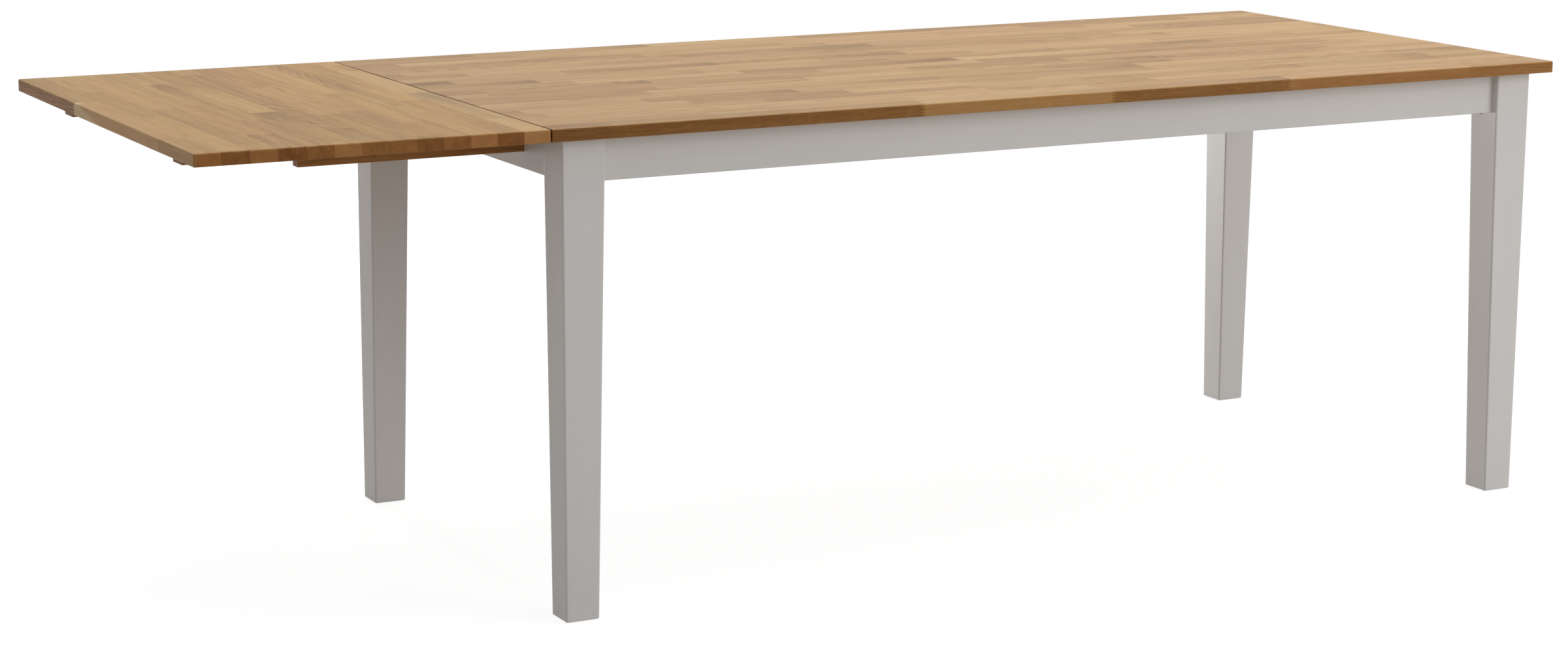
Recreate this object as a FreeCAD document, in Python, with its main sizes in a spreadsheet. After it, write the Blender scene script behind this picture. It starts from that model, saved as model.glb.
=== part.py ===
import FreeCAD, Part
import math
import os
import Sketcher
from FreeCAD import Placement, Rotation, Vector

# Dining table with one end leaf. The oak top lies on a painted frame of four tapered legs and four aprons.
# The leaf lies on two oak bearers that slide out of slots in the left apron, and dowels in the seam line it
# up with the top. +X runs along the table from the leaf to the right end, +Y to the back and +Z up. The
# origin is on the floor under the middle of the whole table, leaf included. Sizes are in millimetres.

SIZES = {
    # the whole table
    "table_height": 750,  # floor to the upper face of the top
    "top_thick": 19,
    "top_long": 1850,
    "top_wide": 900,
    "leaf_long": 530,  # along the table
    "seam": 3,  # open joint between leaf and top
    "top_round": 2.5,  # rounding of the panels' upper edges, which are left sharp along the seam
    "under_round": 1,  # rounding of their lower edges
    "corner_round": 3,  # outer upright corners of the panels
    # legs
    "overhang": 27,  # top's edge to the legs' outer faces
    "leg_square": 68,
    "foot_square": 54,
    "leg_round": 3,
    "foot_round": 2,
    "leg_cut": 31,  # cut of the inner corner, measured along each face
    "leg_cut_below": 6,  # how far that cut runs below the aprons
    # aprons and cross rails
    "apron_high": 68,
    "apron_thick": 20,
    "apron_round": 1.5,
    "set_back": 13,  # legs' outer faces to the aprons' outer faces
    "rail_thick": 20,
    "rail_high": 60,
    "guide_rail_in": 400,  # top's left end to the rail that guides the bearers
    # bearers
    "bearer_wide": 22,
    "bearer_high": 41.5,
    "bearer_inset": 197,  # top's long edge to a bearer's outer side
    "bearer_reach": 355,  # drawn length outside the left apron
    "bearer_tail": 145,  # stop pin's middle to the inner end
    "bearer_round": 1,
    "run_gap": 0.3,  # running clearance above and below a bearer, and at its stops
    "slot_side": 1.5,  # side clearance of a bearer in its slots
    "stop_pin_dia": 8,
    "stop_pin_out": 9,  # how far the stop pin stands out on each side
    # leaf
    "cleat_wide": 43,
    "cleat_thick": 20,
    "cleat_in": 32,  # leaf's long edges to the cleats' ends
    "cleat_gap": 0.5,  # cleat to bearer
    "cleat_screw_dia": 4.5,
    "cleat_screw_head_dia": 9,
    "cleat_screw_head_high": 3,
    "cleat_screw_sunk": 1,  # head below the cleat's face
    "cleat_screw_in_leaf": 12,
    "cleat_screw_end": 40,  # cleat's end to its first screw
    "seam_dowel_in_leaf": 20,
    "seam_dowel_in_top": 15,
    "seam_dowel_spread": 300,  # middle dowel to the outer ones
    "seam_bore_play": 0.6,
    # dowels
    "dowel_dia": 8,
    "dowel_play": 0.1,
    "dowel_bore_spare": 0.5,  # bore deeper than its dowel
    "rail_dowel_in_apron": 12,
    "rail_dowel_in_rail": 20,
    "rail_dowel_edge": 18,  # rail's edges to its dowels
    # corner brackets, their bolts and screws
    "bracket_steel": 2,
    "bracket_high": 50,
    "bracket_gap": 8,  # leg's cut face to the bracket
    "wing_long": 45,
    "lip_long": 6,
    "kerf_play": 0.3,
    "bolt_dia": 8,
    "bolt_spread": 28,
    "bolt_in_leg": 38,
    "bolt_past_nut": 4,
    "bolt_play": 0.2,
    "plate_hole_play": 1,
    "washer_dia": 16,
    "washer_thick": 1.6,
    "nut_flats": 13,
    "nut_high": 6.5,
    "screw_dia": 4,
    "screw_play": 0.2,
    "screw_head_dia": 8,
    "screw_head_high": 2.4,
    "wing_screw_at": 24,  # bracket's bend to its screws
    "wing_screw_spread": 28,
    "wing_screw_in_apron": 13,
    # clips between aprons and top
    "clip_steel": 1.5,
    "clip_wide": 20,
    "clip_drop": 12,  # top's lower face to the clip's tongue
    "clip_tongue": 8,
    "clip_foot": 24,
    "clip_screw_at": 14,
    "clip_screw_in_top": 12,
    "clip_first": 250,  # top's ends to the first clips
    "clip_end_spread": 120,  # middle of an end apron to its clips
    # glides under the legs
    "glide_thick": 2,
    "glide_dia": 40,
    "glide_pin_dia": 3,
    "glide_pin_long": 12,
    # drills and cutters run this far out of what they cut
    "over": 1,
}

CLIP_COUNT = 4  # clips on each long apron
CLEAT_SCREWS = 4  # screws in each cleat
RING = 50  # size of an outline before its constraints shape it
CLOSE = 0.01  # how near an edge lies to where it is looked for
ORIGIN = ("0", "0", "0")
Z_AXIS = Vector(0, 0, 1)
UP = (0, 0, 1)
RIGHT = (1, 0, 0)
LEFT = (-1, 0, 0)
BACKWARD = (0, 1, 0)
FORWARD = (0, -1, 0)
DIAGONAL = (1, 1, 0)  # from the leg towards the middle of the table

# Places, as expressions of the sheet's values.
TOP_LEFT = "(sizes.leaf_long + sizes.seam - sizes.top_long) / 2"
TOP_RIGHT = "(sizes.leaf_long + sizes.seam + sizes.top_long) / 2"
LEAF_LEFT = f"-{TOP_RIGHT}"
LEAF_RIGHT = f"({TOP_LEFT} - sizes.seam)"
FRONT = "-sizes.top_wide / 2"
BACK = "sizes.top_wide / 2"
UNDERSIDE = "(sizes.table_height - sizes.top_thick)"
APRON_BOTTOM = f"({UNDERSIDE} - sizes.apron_high)"
APRON_MIDDLE = f"({UNDERSIDE} - sizes.apron_high / 2)"
LEG_HIGH = f"({UNDERSIDE} - sizes.glide_thick)"
APRON_OUT = "(sizes.overhang + sizes.set_back)"
APRON_IN = f"({APRON_OUT} + sizes.apron_thick)"
LEG_IN = "(sizes.overhang + sizes.leg_square)"
INSIDE_WIDE = f"(sizes.top_wide - 2 * {APRON_IN})"
BEARER_TOP = f"({UNDERSIDE} - sizes.run_gap)"
BEARER_BOTTOM = f"({BEARER_TOP} - sizes.bearer_high)"
SLOT_DEEP = "(sizes.bearer_high + 2 * sizes.run_gap)"
SLOT_WIDE = "(sizes.bearer_wide + 2 * sizes.slot_side)"
SLOT_INSET = "(sizes.bearer_inset - sizes.slot_side)"
BEARER_LEFT = f"({TOP_LEFT} + {APRON_OUT} - sizes.bearer_reach)"
MIDDLE_RAIL = f"({TOP_LEFT} + sizes.top_long / 2 - sizes.rail_thick / 2)"
GUIDE_RAIL = f"({TOP_LEFT} + sizes.guide_rail_in)"
RIGHT_RAIL = f"({TOP_RIGHT} - sizes.guide_rail_in - sizes.rail_thick)"
STOP_PIN = f"({GUIDE_RAIL} + sizes.rail_thick + sizes.run_gap + sizes.stop_pin_dia / 2)"
BEARER_LONG = f"({STOP_PIN} + sizes.bearer_tail - {BEARER_LEFT})"
DOWEL_BORE = "(sizes.dowel_dia + sizes.dowel_play)"
CLEAT_INSET = "(sizes.bearer_inset - sizes.cleat_gap - sizes.cleat_wide)"
CLEAT_LONG = "(sizes.leaf_long - 2 * sizes.cleat_in)"
# Places in a corner, measured from the leg's outer corner along its two outer faces.
WALL = "(sizes.set_back + sizes.apron_thick)"
CUT_LINE = "(2 * sizes.leg_square - sizes.leg_cut)"
PLATE_LINE = f"({CUT_LINE} + sizes.bracket_gap * sqrt(2))"
BEND = f"({PLATE_LINE} - {WALL})"
WING_SCREW = f"({BEND} + sizes.wing_screw_at)"
# Bores and rows of holes that more than one piece shares.
SCREW_BORE = "(sizes.screw_dia + sizes.screw_play)"
SEAM_BORE = "(sizes.dowel_dia + sizes.seam_bore_play)"
GLIDE_BORE = "(sizes.glide_pin_dia + sizes.dowel_play)"
BOLT_BORE = "(sizes.bolt_dia + sizes.bolt_play)"
RAIL_DOWEL_DROPS = ("sizes.rail_dowel_edge", "(sizes.rail_high - sizes.rail_dowel_edge)")
SEAM_YS = [f"(sizes.top_wide / 2 + {step} * sizes.seam_dowel_spread)" for step in (-1, 0, 1)]

CORNERS = {  # name: X and Y of the leg's outer corner, each a quarter turn on from the one before
    "front_left": (f"{TOP_LEFT} + sizes.overhang", f"{FRONT} + sizes.overhang"),
    "front_right": (f"{TOP_RIGHT} - sizes.overhang", f"{FRONT} + sizes.overhang"),
    "back_right": (f"{TOP_RIGHT} - sizes.overhang", f"{BACK} - sizes.overhang"),
    "back_left": (f"{TOP_LEFT} + sizes.overhang", f"{BACK} - sizes.overhang"),
}
TURNS = {corner: turns for turns, corner in enumerate(CORNERS)}
SIDES = ("front", "back")

doc = FreeCAD.newDocument("dining_table")
nodes = []


def make_sheet():
    sheet = doc.addObject("Spreadsheet::Sheet", "sizes")
    for row, (name, size) in enumerate(SIZES.items(), start=1):
        sheet.set(f"A{row}", name)
        sheet.set(f"B{row}", str(size))
        sheet.setAlias(f"B{row}", name)
    doc.recompute()


def bind(thing, **expressions):
    """Ties properties to the sheet; at=(x, y, z) stands for the placement's base."""
    for axis, expression in zip("xyz", expressions.pop("at", ())):
        thing.setExpression(f"Placement.Base.{axis}", expression)
    for name, expression in expressions.items():
        thing.setExpression(name, expression)
    return thing


def quarter(turns):
    return Rotation(Z_AXIS, 90 * turns)


def pointed(way):
    return way if isinstance(way, Rotation) else Rotation(Z_AXIS, Vector(*way))


def node(thing, label):
    thing.Label = label
    nodes.append(thing)
    return thing


# ---- solids of Part ----


def cylinder(name, diameter, high, low="0"):
    """Cylinder that stands on the height low."""
    solid = doc.addObject("Part::Cylinder", name)
    return bind(solid, at=("0", "0", low), Radius=f"{diameter} / 2", Height=high)


def fuse(name, *parts):
    solid = doc.addObject("Part::MultiFuse", name)
    solid.Shapes = parts
    return solid


def cut(name, base, tool):
    solid = doc.addObject("Part::Cut", name)
    solid.Base = base
    solid.Tool = tool
    return solid


def group(name, parts):
    compound = doc.addObject("Part::Compound", name)
    compound.Links = parts
    return compound


def copies(name, master, places):
    """One link to the master for each place: its point, and its rotation or where its Z axis points."""
    links = []
    for number, (at, turn) in enumerate(places, start=1):
        link = doc.addObject("App::Link", f"{name}_{number}")
        link.LinkedObject = master
        link.Placement = Placement(Vector(), pointed(turn))
        links.append(bind(link, at=at))
    return group(name, links)


def drilled(name, blank, *holes):
    """The blank with its holes, given as pairs of a drill and its places."""
    tools = [copies(f"{name}_drill_{number}", *hole) for number, hole in enumerate(holes, start=1)]
    return cut(name, blank, group(f"{name}_drills", tools))


# ---- features of PartDesign ----


def new_body(name):
    return doc.addObject("PartDesign::Body", name)


def new_sketch(body, name, role="XY_Plane", **offset):
    sketch = body.newObject("Sketcher::SketchObject", name)
    plane = [face for face in body.Origin.OriginFeatures if face.Role == role][0]
    sketch.AttachmentSupport = [(plane, "")]
    sketch.MapMode = "FlatFace"
    for axis, expression in offset.items():
        sketch.setExpression(f"AttachmentOffset.Base.{axis}", expression)
    return sketch


def pin_point(sketch, line, x, y):
    """Ties the start of a line to X and Y measured from the sketch's origin."""
    for kind, expression, axis in (("DistanceX", x, -2), ("DistanceY", y, -1)):
        if expression == "0":
            sketch.addConstraint(Sketcher.Constraint("PointOnObject", line, 1, axis))
            continue
        place = sketch.addConstraint(Sketcher.Constraint(kind, -1, 1, line, 1, RING))
        sketch.setExpression(f"Constraints[{place}]", expression)


def polygon(sketch, points):
    """Closed outline through points, each a pair of expressions. It starts as a plain ring."""
    count = len(points)
    angles = [2 * math.pi * number / count for number in range(count)]
    start = [Vector(RING * math.cos(angle), RING * math.sin(angle), 0) for angle in angles]
    for number in range(count):
        sketch.addGeometry(Part.LineSegment(start[number], start[(number + 1) % count]))
    for number in range(count):
        sketch.addConstraint(Sketcher.Constraint("Coincident", number, 2, (number + 1) % count, 1))
    for number, (x, y) in enumerate(points):
        pin_point(sketch, number, x, y)


def rounded_square(sketch, side, radius):
    """Square from the origin with rounded corners; side and radius are names in the sheet."""
    long, small = SIZES[side], SIZES[radius]
    far = long - small
    sides = [
        ((small, 0), (far, 0)),
        ((long, small), (long, far)),
        ((far, long), (small, long)),
        ((0, far), (0, small)),
    ]
    middles = [(far, small), (far, far), (small, far), (small, small)]
    for start, end in sides:
        sketch.addGeometry(Part.LineSegment(Vector(*start, 0), Vector(*end, 0)))
    for number, middle in enumerate(middles):
        circle = Part.Circle(Vector(*middle, 0), Z_AXIS, small)
        first = (number - 1) * math.pi / 2
        sketch.addGeometry(Part.ArcOfCircle(circle, first, first + math.pi / 2))
    for number in range(4):
        arc = 4 + number
        sketch.addConstraint(Sketcher.Constraint("Tangent", number, 2, arc, 1))
        sketch.addConstraint(Sketcher.Constraint("Tangent", arc, 2, (number + 1) % 4, 1))
        if number:
            sketch.addConstraint(Sketcher.Constraint("Equal", 4, arc))
    for line in (0, 2):
        sketch.addConstraint(Sketcher.Constraint("Horizontal", line))
    for line in (1, 3):
        sketch.addConstraint(Sketcher.Constraint("Vertical", line))
    sketch.addConstraint(Sketcher.Constraint("PointOnObject", 0, 1, -1))
    sketch.addConstraint(Sketcher.Constraint("PointOnObject", 3, 1, -2))
    for constraint, name in (
        (Sketcher.Constraint("Radius", 4, small), radius),
        (Sketcher.Constraint("DistanceX", 3, 1, 1, 1, long), side),
        (Sketcher.Constraint("DistanceY", 0, 1, 2, 1, long), side),
    ):
        place = sketch.addConstraint(constraint)
        sketch.setExpression(f"Constraints[{place}]", f"sizes.{name}")


def padded(body, name, profile, length):
    feature = body.newObject("PartDesign::Pad", name)
    feature.Profile = profile
    return bind(feature, Length=length)


def block(body, name, kind, at, long, wide, high):
    """A box that is added to the body or taken from it."""
    feature = body.newObject(f"PartDesign::{kind}Box", name)
    return bind(feature, at=at, Length=long, Width=wide, Height=high)


def rounded(body, name, radius, wanted):
    """Fillet of the edges of the body's tip that the test picks."""
    doc.recompute()
    base = body.Tip
    picked = [f"Edge{number}" for number, edge in enumerate(base.Shape.Edges, start=1) if wanted(edge)]
    feature = body.newObject("PartDesign::Fillet", name)
    feature.Base = (base, picked)
    return bind(feature, Radius=radius)


def upright(edge):
    return edge.BoundBox.XLength < CLOSE and edge.BoundBox.YLength < CLOSE


def level_at(height):
    """Test for level edges at a height of the body."""

    def wanted(edge):
        bounds = edge.BoundBox
        return bounds.ZLength < CLOSE and abs(bounds.ZMin - height) < CLOSE

    return wanted


def lengthwise(edge):
    """Test for the edges of a board that lies along X."""
    return edge.BoundBox.YLength < CLOSE and edge.BoundBox.ZLength < CLOSE


def lengthwise_below(edge):
    return lengthwise(edge) and edge.BoundBox.ZMin < CLOSE


# ---- places ----


def in_corner(corner, x, y, z):
    """A corner's own X, Y and Z as a place in the table."""
    corner_x, corner_y = CORNERS[corner]
    right, back = [(x, y), (f"-({y})", x), (f"-({x})", f"-({y})"), (y, f"-({x})")][TURNS[corner]]
    return f"{corner_x} + {right}", f"{corner_y} + {back}", z


def corner_places(spots):
    """Places in all four corners, from a corner's own points and directions."""
    places = []
    for corner in CORNERS:
        turn = quarter(TURNS[corner])
        places += [(in_corner(corner, *spot), turn * pointed(way)) for spot, way in spots]
    return places


def on_diagonal(distance, middle):
    """Two points above each other on a corner's diagonal, at a distance from the leg's cut face."""
    across = f"({CUT_LINE} / 2 + ({distance}) / sqrt(2))"
    heights = [f"{middle} {sign} sizes.bolt_spread / 2" for sign in "-+"]
    return [((across, across, height), DIAGONAL) for height in heights]


def evenly(first, last, count):
    return [f"({first} + ({last} - ({first})) * {number} / {count - 1})" for number in range(count)]


# ---- panels and boards ----


def panel(name, long, seam):
    """Glued oak panel with rounded corners and edges, but sharp ones at the end with the seam, at X seam."""

    def away_from_seam(wanted):
        return lambda edge: wanted(edge) and abs(edge.BoundBox.Center.x - seam) > CLOSE

    body = new_body(f"{name}_panel")
    block(body, f"{name}_slab", "Additive", ORIGIN, long, "sizes.top_wide", "sizes.top_thick")
    rounded(body, f"{name}_corners", "sizes.corner_round", away_from_seam(upright))
    rounded(body, f"{name}_upper_edge", "sizes.top_round", away_from_seam(level_at(SIZES["top_thick"])))
    rounded(body, f"{name}_lower_edge", "sizes.under_round", away_from_seam(level_at(0)))
    return body


def board(name, long, wide, high, radius, wanted):
    """Straight board along X with some of its edges rounded."""
    body = new_body(f"{name}_board")
    block(body, f"{name}_stock", "Additive", ORIGIN, long, wide, high)
    rounded(body, f"{name}_edges", radius, wanted)
    return body


def make_leg():
    """Leg in its corner's own frame, from its outer corner inward, with bolt and glide holes."""
    body = new_body("leg_blank")
    foot = new_sketch(body, "foot_outline")
    rounded_square(foot, "foot_square", "leg_round")
    knee = new_sketch(body, "knee_outline", z=f"{LEG_HIGH} - sizes.apron_high")
    rounded_square(knee, "leg_square", "leg_round")
    taper = body.newObject("PartDesign::AdditiveLoft", "taper")
    taper.Profile = foot
    taper.Sections = [knee]
    taper.Ruled = True
    padded(body, "head", knee, "sizes.apron_high")
    rounded(body, "foot_edge", "sizes.foot_round", level_at(0))
    corner = new_sketch(body, "corner_outline", z=LEG_HIGH)
    near = "sizes.leg_square - sizes.leg_cut - sizes.over"
    far = "sizes.leg_square + sizes.over"
    polygon(corner, [(near, far), (far, near), (far, far)])
    pocket = body.newObject("PartDesign::Pocket", "corner_cut")
    pocket.Profile = corner
    bind(pocket, Length="sizes.apron_high + sizes.leg_cut_below")
    bolt_hole = cylinder("bolt_hole", BOLT_BORE, "sizes.bolt_in_leg + sizes.bolt_play + sizes.over")
    bolt_spots = on_diagonal("-sizes.bolt_in_leg - sizes.bolt_play", f"({LEG_HIGH} - sizes.apron_high / 2)")
    pin_hole = cylinder("glide_pin_hole", GLIDE_BORE, "sizes.glide_pin_long + sizes.over", "-sizes.over")
    middle = "sizes.foot_square / 2"
    return drilled("leg", body, (bolt_hole, bolt_spots), (pin_hole, [((middle, middle, "0"), UP)]))


def apron_board(name, long):
    """Apron along X, its outer face at Y 0, with the groove of the clips and a kerf near each end."""
    body = board(name, long, "sizes.apron_thick", "sizes.apron_high", "sizes.apron_round", lengthwise_below)
    groove_deep = "(sizes.clip_tongue + sizes.kerf_play)"
    groove_low = "sizes.apron_high - sizes.clip_drop - sizes.kerf_play / 2"
    groove_at = ("0", f"sizes.apron_thick - {groove_deep}", groove_low)
    groove_high = "sizes.clip_steel + sizes.kerf_play"
    block(body, f"{name}_groove", "Subtractive", groove_at, long, groove_deep, groove_high)
    kerf_wide = "(sizes.bracket_steel + sizes.kerf_play)"
    kerf_deep = "(sizes.lip_long + sizes.kerf_play)"
    kerf_end = f"({BEND} + sizes.wing_long + sizes.kerf_play / 2 - sizes.leg_square)"
    for number, kerf_x in enumerate((f"{kerf_end} - {kerf_wide}", f"{long} - {kerf_end}"), start=1):
        kerf_at = (kerf_x, f"sizes.apron_thick - {kerf_deep}", "0")
        block(body, f"{name}_kerf_{number}", "Subtractive", kerf_at, kerf_wide, kerf_deep, "sizes.apron_high")
    return body


def wing_holes(long):
    """Pilot holes of the bracket screws in an apron."""
    near = f"({WING_SCREW} - sizes.leg_square)"
    places = []
    for x in (near, f"({long} - {near})"):
        for sign in "-+":
            height = f"sizes.apron_high / 2 {sign} sizes.wing_screw_spread / 2"
            places.append(((x, "sizes.apron_thick + sizes.over", height), FORWARD))
    return places


def make_aprons():
    long, short = f"(sizes.top_long - 2 * {LEG_IN})", f"(sizes.top_wide - 2 * {LEG_IN})"
    pilot = cylinder("wing_pilot", SCREW_BORE, "sizes.wing_screw_in_apron + sizes.screw_play + sizes.over")
    bore = cylinder("apron_dowel_bore", DOWEL_BORE, "sizes.rail_dowel_in_apron + sizes.dowel_bore_spare")
    guide = f"(sizes.guide_rail_in + sizes.rail_thick / 2 - {LEG_IN})"
    bores = [
        ((x, "sizes.apron_thick", f"sizes.apron_high - {drop}"), FORWARD)
        for x in (guide, f"{long} / 2", f"{long} - {guide}")
        for drop in RAIL_DOWEL_DROPS
    ]
    long_board = apron_board("long_apron", long)
    long_apron = drilled("long_apron", long_board, (pilot, wing_holes(long)), (bore, bores))
    end_apron = drilled("end_apron", apron_board("end_apron", short), (pilot, wing_holes(short)))
    slotted = apron_board("slotted_apron", short)
    near = f"({SLOT_INSET} - {LEG_IN})"
    for number, x in enumerate((near, f"{short} - {near} - {SLOT_WIDE}"), start=1):
        at = (x, "-sizes.over", f"sizes.apron_high - {SLOT_DEEP}")
        deep = "sizes.apron_thick + 2 * sizes.over"
        high = f"{SLOT_DEEP} + sizes.over"
        block(slotted, f"bearer_slot_{number}", "Subtractive", at, SLOT_WIDE, deep, high)
    slotted_apron = drilled("slotted_apron", slotted, (pilot, wing_holes(short)))
    left, right = f"{TOP_LEFT} + {LEG_IN}", f"{TOP_RIGHT} - {LEG_IN}"
    front, back = f"{FRONT} + {LEG_IN}", f"{BACK} - {LEG_IN}"
    place_node("apron_front", long_apron, (left, f"{FRONT} + {APRON_OUT}", APRON_BOTTOM), quarter(0))
    place_node("apron_back", long_apron, (right, f"{BACK} - {APRON_OUT}", APRON_BOTTOM), quarter(2))
    place_node("apron_right", end_apron, (f"{TOP_RIGHT} - {APRON_OUT}", front, APRON_BOTTOM), quarter(1))
    place_node("apron_left", slotted_apron, (f"{TOP_LEFT} + {APRON_OUT}", back, APRON_BOTTOM), quarter(3))


def place_node(label, master, at, turn):
    return node(copies(label, master, [(at, turn)]), label)


def make_legs():
    leg = make_leg()
    for corner in CORNERS:
        at = in_corner(corner, "0", "0", "sizes.glide_thick")
        place_node(f"leg_{corner}", leg, at, quarter(TURNS[corner]))
    disc = cylinder("glide_disc", "sizes.glide_dia", "sizes.glide_thick")
    pin = cylinder("glide_pin", "sizes.glide_pin_dia", "sizes.glide_pin_long", "sizes.glide_thick")
    middle = "sizes.foot_square / 2"
    glide = fuse("glide", disc, pin)
    node(copies("foot_glides", glide, corner_places([((middle, middle, "0"), UP)])), "foot_glides")


def make_cross_rails():
    """Rails across the frame; the left one is notched for the bearers. Their frame has X along the rail."""
    bore = cylinder("rail_dowel_bore", DOWEL_BORE, "sizes.rail_dowel_in_rail + sizes.dowel_bore_spare")
    middle = "sizes.rail_thick / 2"
    ends = (("0", RIGHT), (INSIDE_WIDE, LEFT))
    bores = [((x, middle, f"sizes.rail_high - {drop}"), way) for x, way in ends for drop in RAIL_DOWEL_DROPS]
    size = (INSIDE_WIDE, "sizes.rail_thick", "sizes.rail_high", "sizes.apron_round", lengthwise_below)
    plain = drilled("plain_rail", board("plain_rail", *size), (bore, bores))
    notched = board("notched_rail", *size)
    near = f"({SLOT_INSET} - {APRON_IN})"
    for number, x in enumerate((near, f"{INSIDE_WIDE} - {near} - {SLOT_WIDE}"), start=1):
        at = (x, "-sizes.over", f"sizes.rail_high - {SLOT_DEEP}")
        deep = "sizes.rail_thick + 2 * sizes.over"
        high = f"{SLOT_DEEP} + sizes.over"
        block(notched, f"rail_notch_{number}", "Subtractive", at, SLOT_WIDE, deep, high)
    guide = drilled("notched_rail", notched, (bore, bores))
    dowels = []
    rails = (
        ("bearer_guide_rail", guide, GUIDE_RAIL),
        ("cross_rail_middle", plain, MIDDLE_RAIL),
        ("cross_rail_right", plain, RIGHT_RAIL),
    )
    for label, rail, x in rails:
        place_node(label, rail, (x, f"{BACK} - {APRON_IN}", f"{UNDERSIDE} - sizes.rail_high"), quarter(3))
        for drop in RAIL_DOWEL_DROPS:
            for y, way in (
                (f"{FRONT} + {APRON_IN} + sizes.rail_dowel_in_rail", FORWARD),
                (f"{BACK} - {APRON_IN} - sizes.rail_dowel_in_rail", BACKWARD),
            ):
                dowels.append(((f"{x} + {middle}", y, f"{UNDERSIDE} - {drop}"), way))
    dowel = cylinder("rail_dowel", "sizes.dowel_dia", "sizes.rail_dowel_in_rail + sizes.rail_dowel_in_apron")
    node(copies("cross_rail_dowels", dowel, dowels), "cross_rail_dowels")


# ---- top, leaf and bearers ----


def side_y(side, inset, wide="0"):
    """Y of the low side of a piece that lies inset from the front or the back edge."""
    return f"{FRONT} + {inset}" if side == "front" else f"{BACK} - {inset} - {wide}"


def make_top():
    bore_deep = "sizes.seam_dowel_in_top + sizes.dowel_bore_spare + sizes.over"
    bore = cylinder("top_seam_bore", SEAM_BORE, bore_deep)
    bores = [(("-sizes.over", y, "sizes.top_thick / 2"), RIGHT) for y in SEAM_YS]
    pilot = cylinder("clip_pilot", SCREW_BORE, "sizes.clip_screw_in_top + sizes.screw_play + sizes.over")
    spots = [spot for spot, _ in clip_spots("sizes.clip_screw_at")]
    pilots = [((f"{x} - ({TOP_LEFT})", f"{y} - ({FRONT})", "-sizes.over"), UP) for x, y in spots]
    top = drilled("top", panel("top", "sizes.top_long", 0), (bore, bores), (pilot, pilots))
    place_node("main_top", top, (TOP_LEFT, FRONT, UNDERSIDE), UP)


def make_leaf():
    """Leaf with its two cleats, their screws and the dowels of the seam."""
    bore_deep = "sizes.seam_dowel_in_leaf + sizes.dowel_bore_spare + sizes.over"
    bore = cylinder("leaf_seam_bore", DOWEL_BORE, bore_deep)
    bores = [(("sizes.leaf_long + sizes.over", y, "sizes.top_thick / 2"), LEFT) for y in SEAM_YS]
    cleat_low = {side: side_y(side, CLEAT_INSET, "sizes.cleat_wide") for side in SIDES}
    screw_xs = evenly("sizes.cleat_screw_end", f"({CLEAT_LONG} - sizes.cleat_screw_end)", CLEAT_SCREWS)
    screw_bore = "(sizes.cleat_screw_dia + sizes.screw_play)"
    pilot = cylinder("leaf_pilot", screw_bore, "sizes.cleat_screw_in_leaf + sizes.screw_play + sizes.over")
    rows = [f"{cleat_low[side]} + sizes.cleat_wide / 2" for side in SIDES]
    spots = [(f"sizes.cleat_in + {x}", y) for y in rows for x in screw_xs]
    pilots = [((x, f"{y} - ({FRONT})", "-sizes.over"), UP) for x, y in spots]
    slab = panel("leaf", "sizes.leaf_long", SIZES["leaf_long"])
    leaf = drilled("leaf", slab, (bore, bores), (pilot, pilots))
    place_node("leaf_top", leaf, (LEAF_LEFT, FRONT, UNDERSIDE), UP)

    sunk = "(sizes.cleat_screw_sunk + sizes.cleat_screw_head_high)"
    head_bore = cylinder("cleat_head_bore", "(sizes.cleat_screw_head_dia + sizes.screw_play)", sunk)
    shank_bore = cylinder("cleat_shank_bore", screw_bore, "sizes.cleat_thick + sizes.over")
    size = ("sizes.cleat_wide", "sizes.cleat_thick", "sizes.bearer_round", lengthwise_below)
    drill = fuse("cleat_drill", head_bore, shank_bore)
    holes = [((x, "sizes.cleat_wide / 2", "0"), UP) for x in screw_xs]
    cleat = drilled("cleat", board("cleat", CLEAT_LONG, *size), (drill, holes))
    for side in SIDES:
        at = (f"{LEAF_LEFT} + sizes.cleat_in", cleat_low[side], f"{UNDERSIDE} - sizes.cleat_thick")
        place_node(f"leaf_cleat_{side}", cleat, at, UP)
    grip = f"sizes.cleat_thick - {sunk} + sizes.cleat_screw_in_leaf"
    screw = make_screw("cleat_screw", "cleat_screw", grip)
    heads = f"{UNDERSIDE} - sizes.cleat_thick + {sunk}"
    screw_places = [((f"{LEAF_LEFT} + {x}", y, heads), UP) for x, y in spots]
    node(copies("leaf_cleat_screws", screw, screw_places), "leaf_cleat_screws")

    dowel_long = "sizes.seam_dowel_in_leaf + sizes.seam + sizes.seam_dowel_in_top"
    dowel = cylinder("seam_dowel", "sizes.dowel_dia", dowel_long)
    start = f"{LEAF_RIGHT} - sizes.seam_dowel_in_leaf"
    height = f"{UNDERSIDE} + sizes.top_thick / 2"
    dowel_places = [((start, f"{FRONT} + {y}", height), RIGHT) for y in SEAM_YS]
    node(copies("leaf_dowels", dowel, dowel_places), "leaf_dowels")


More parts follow.
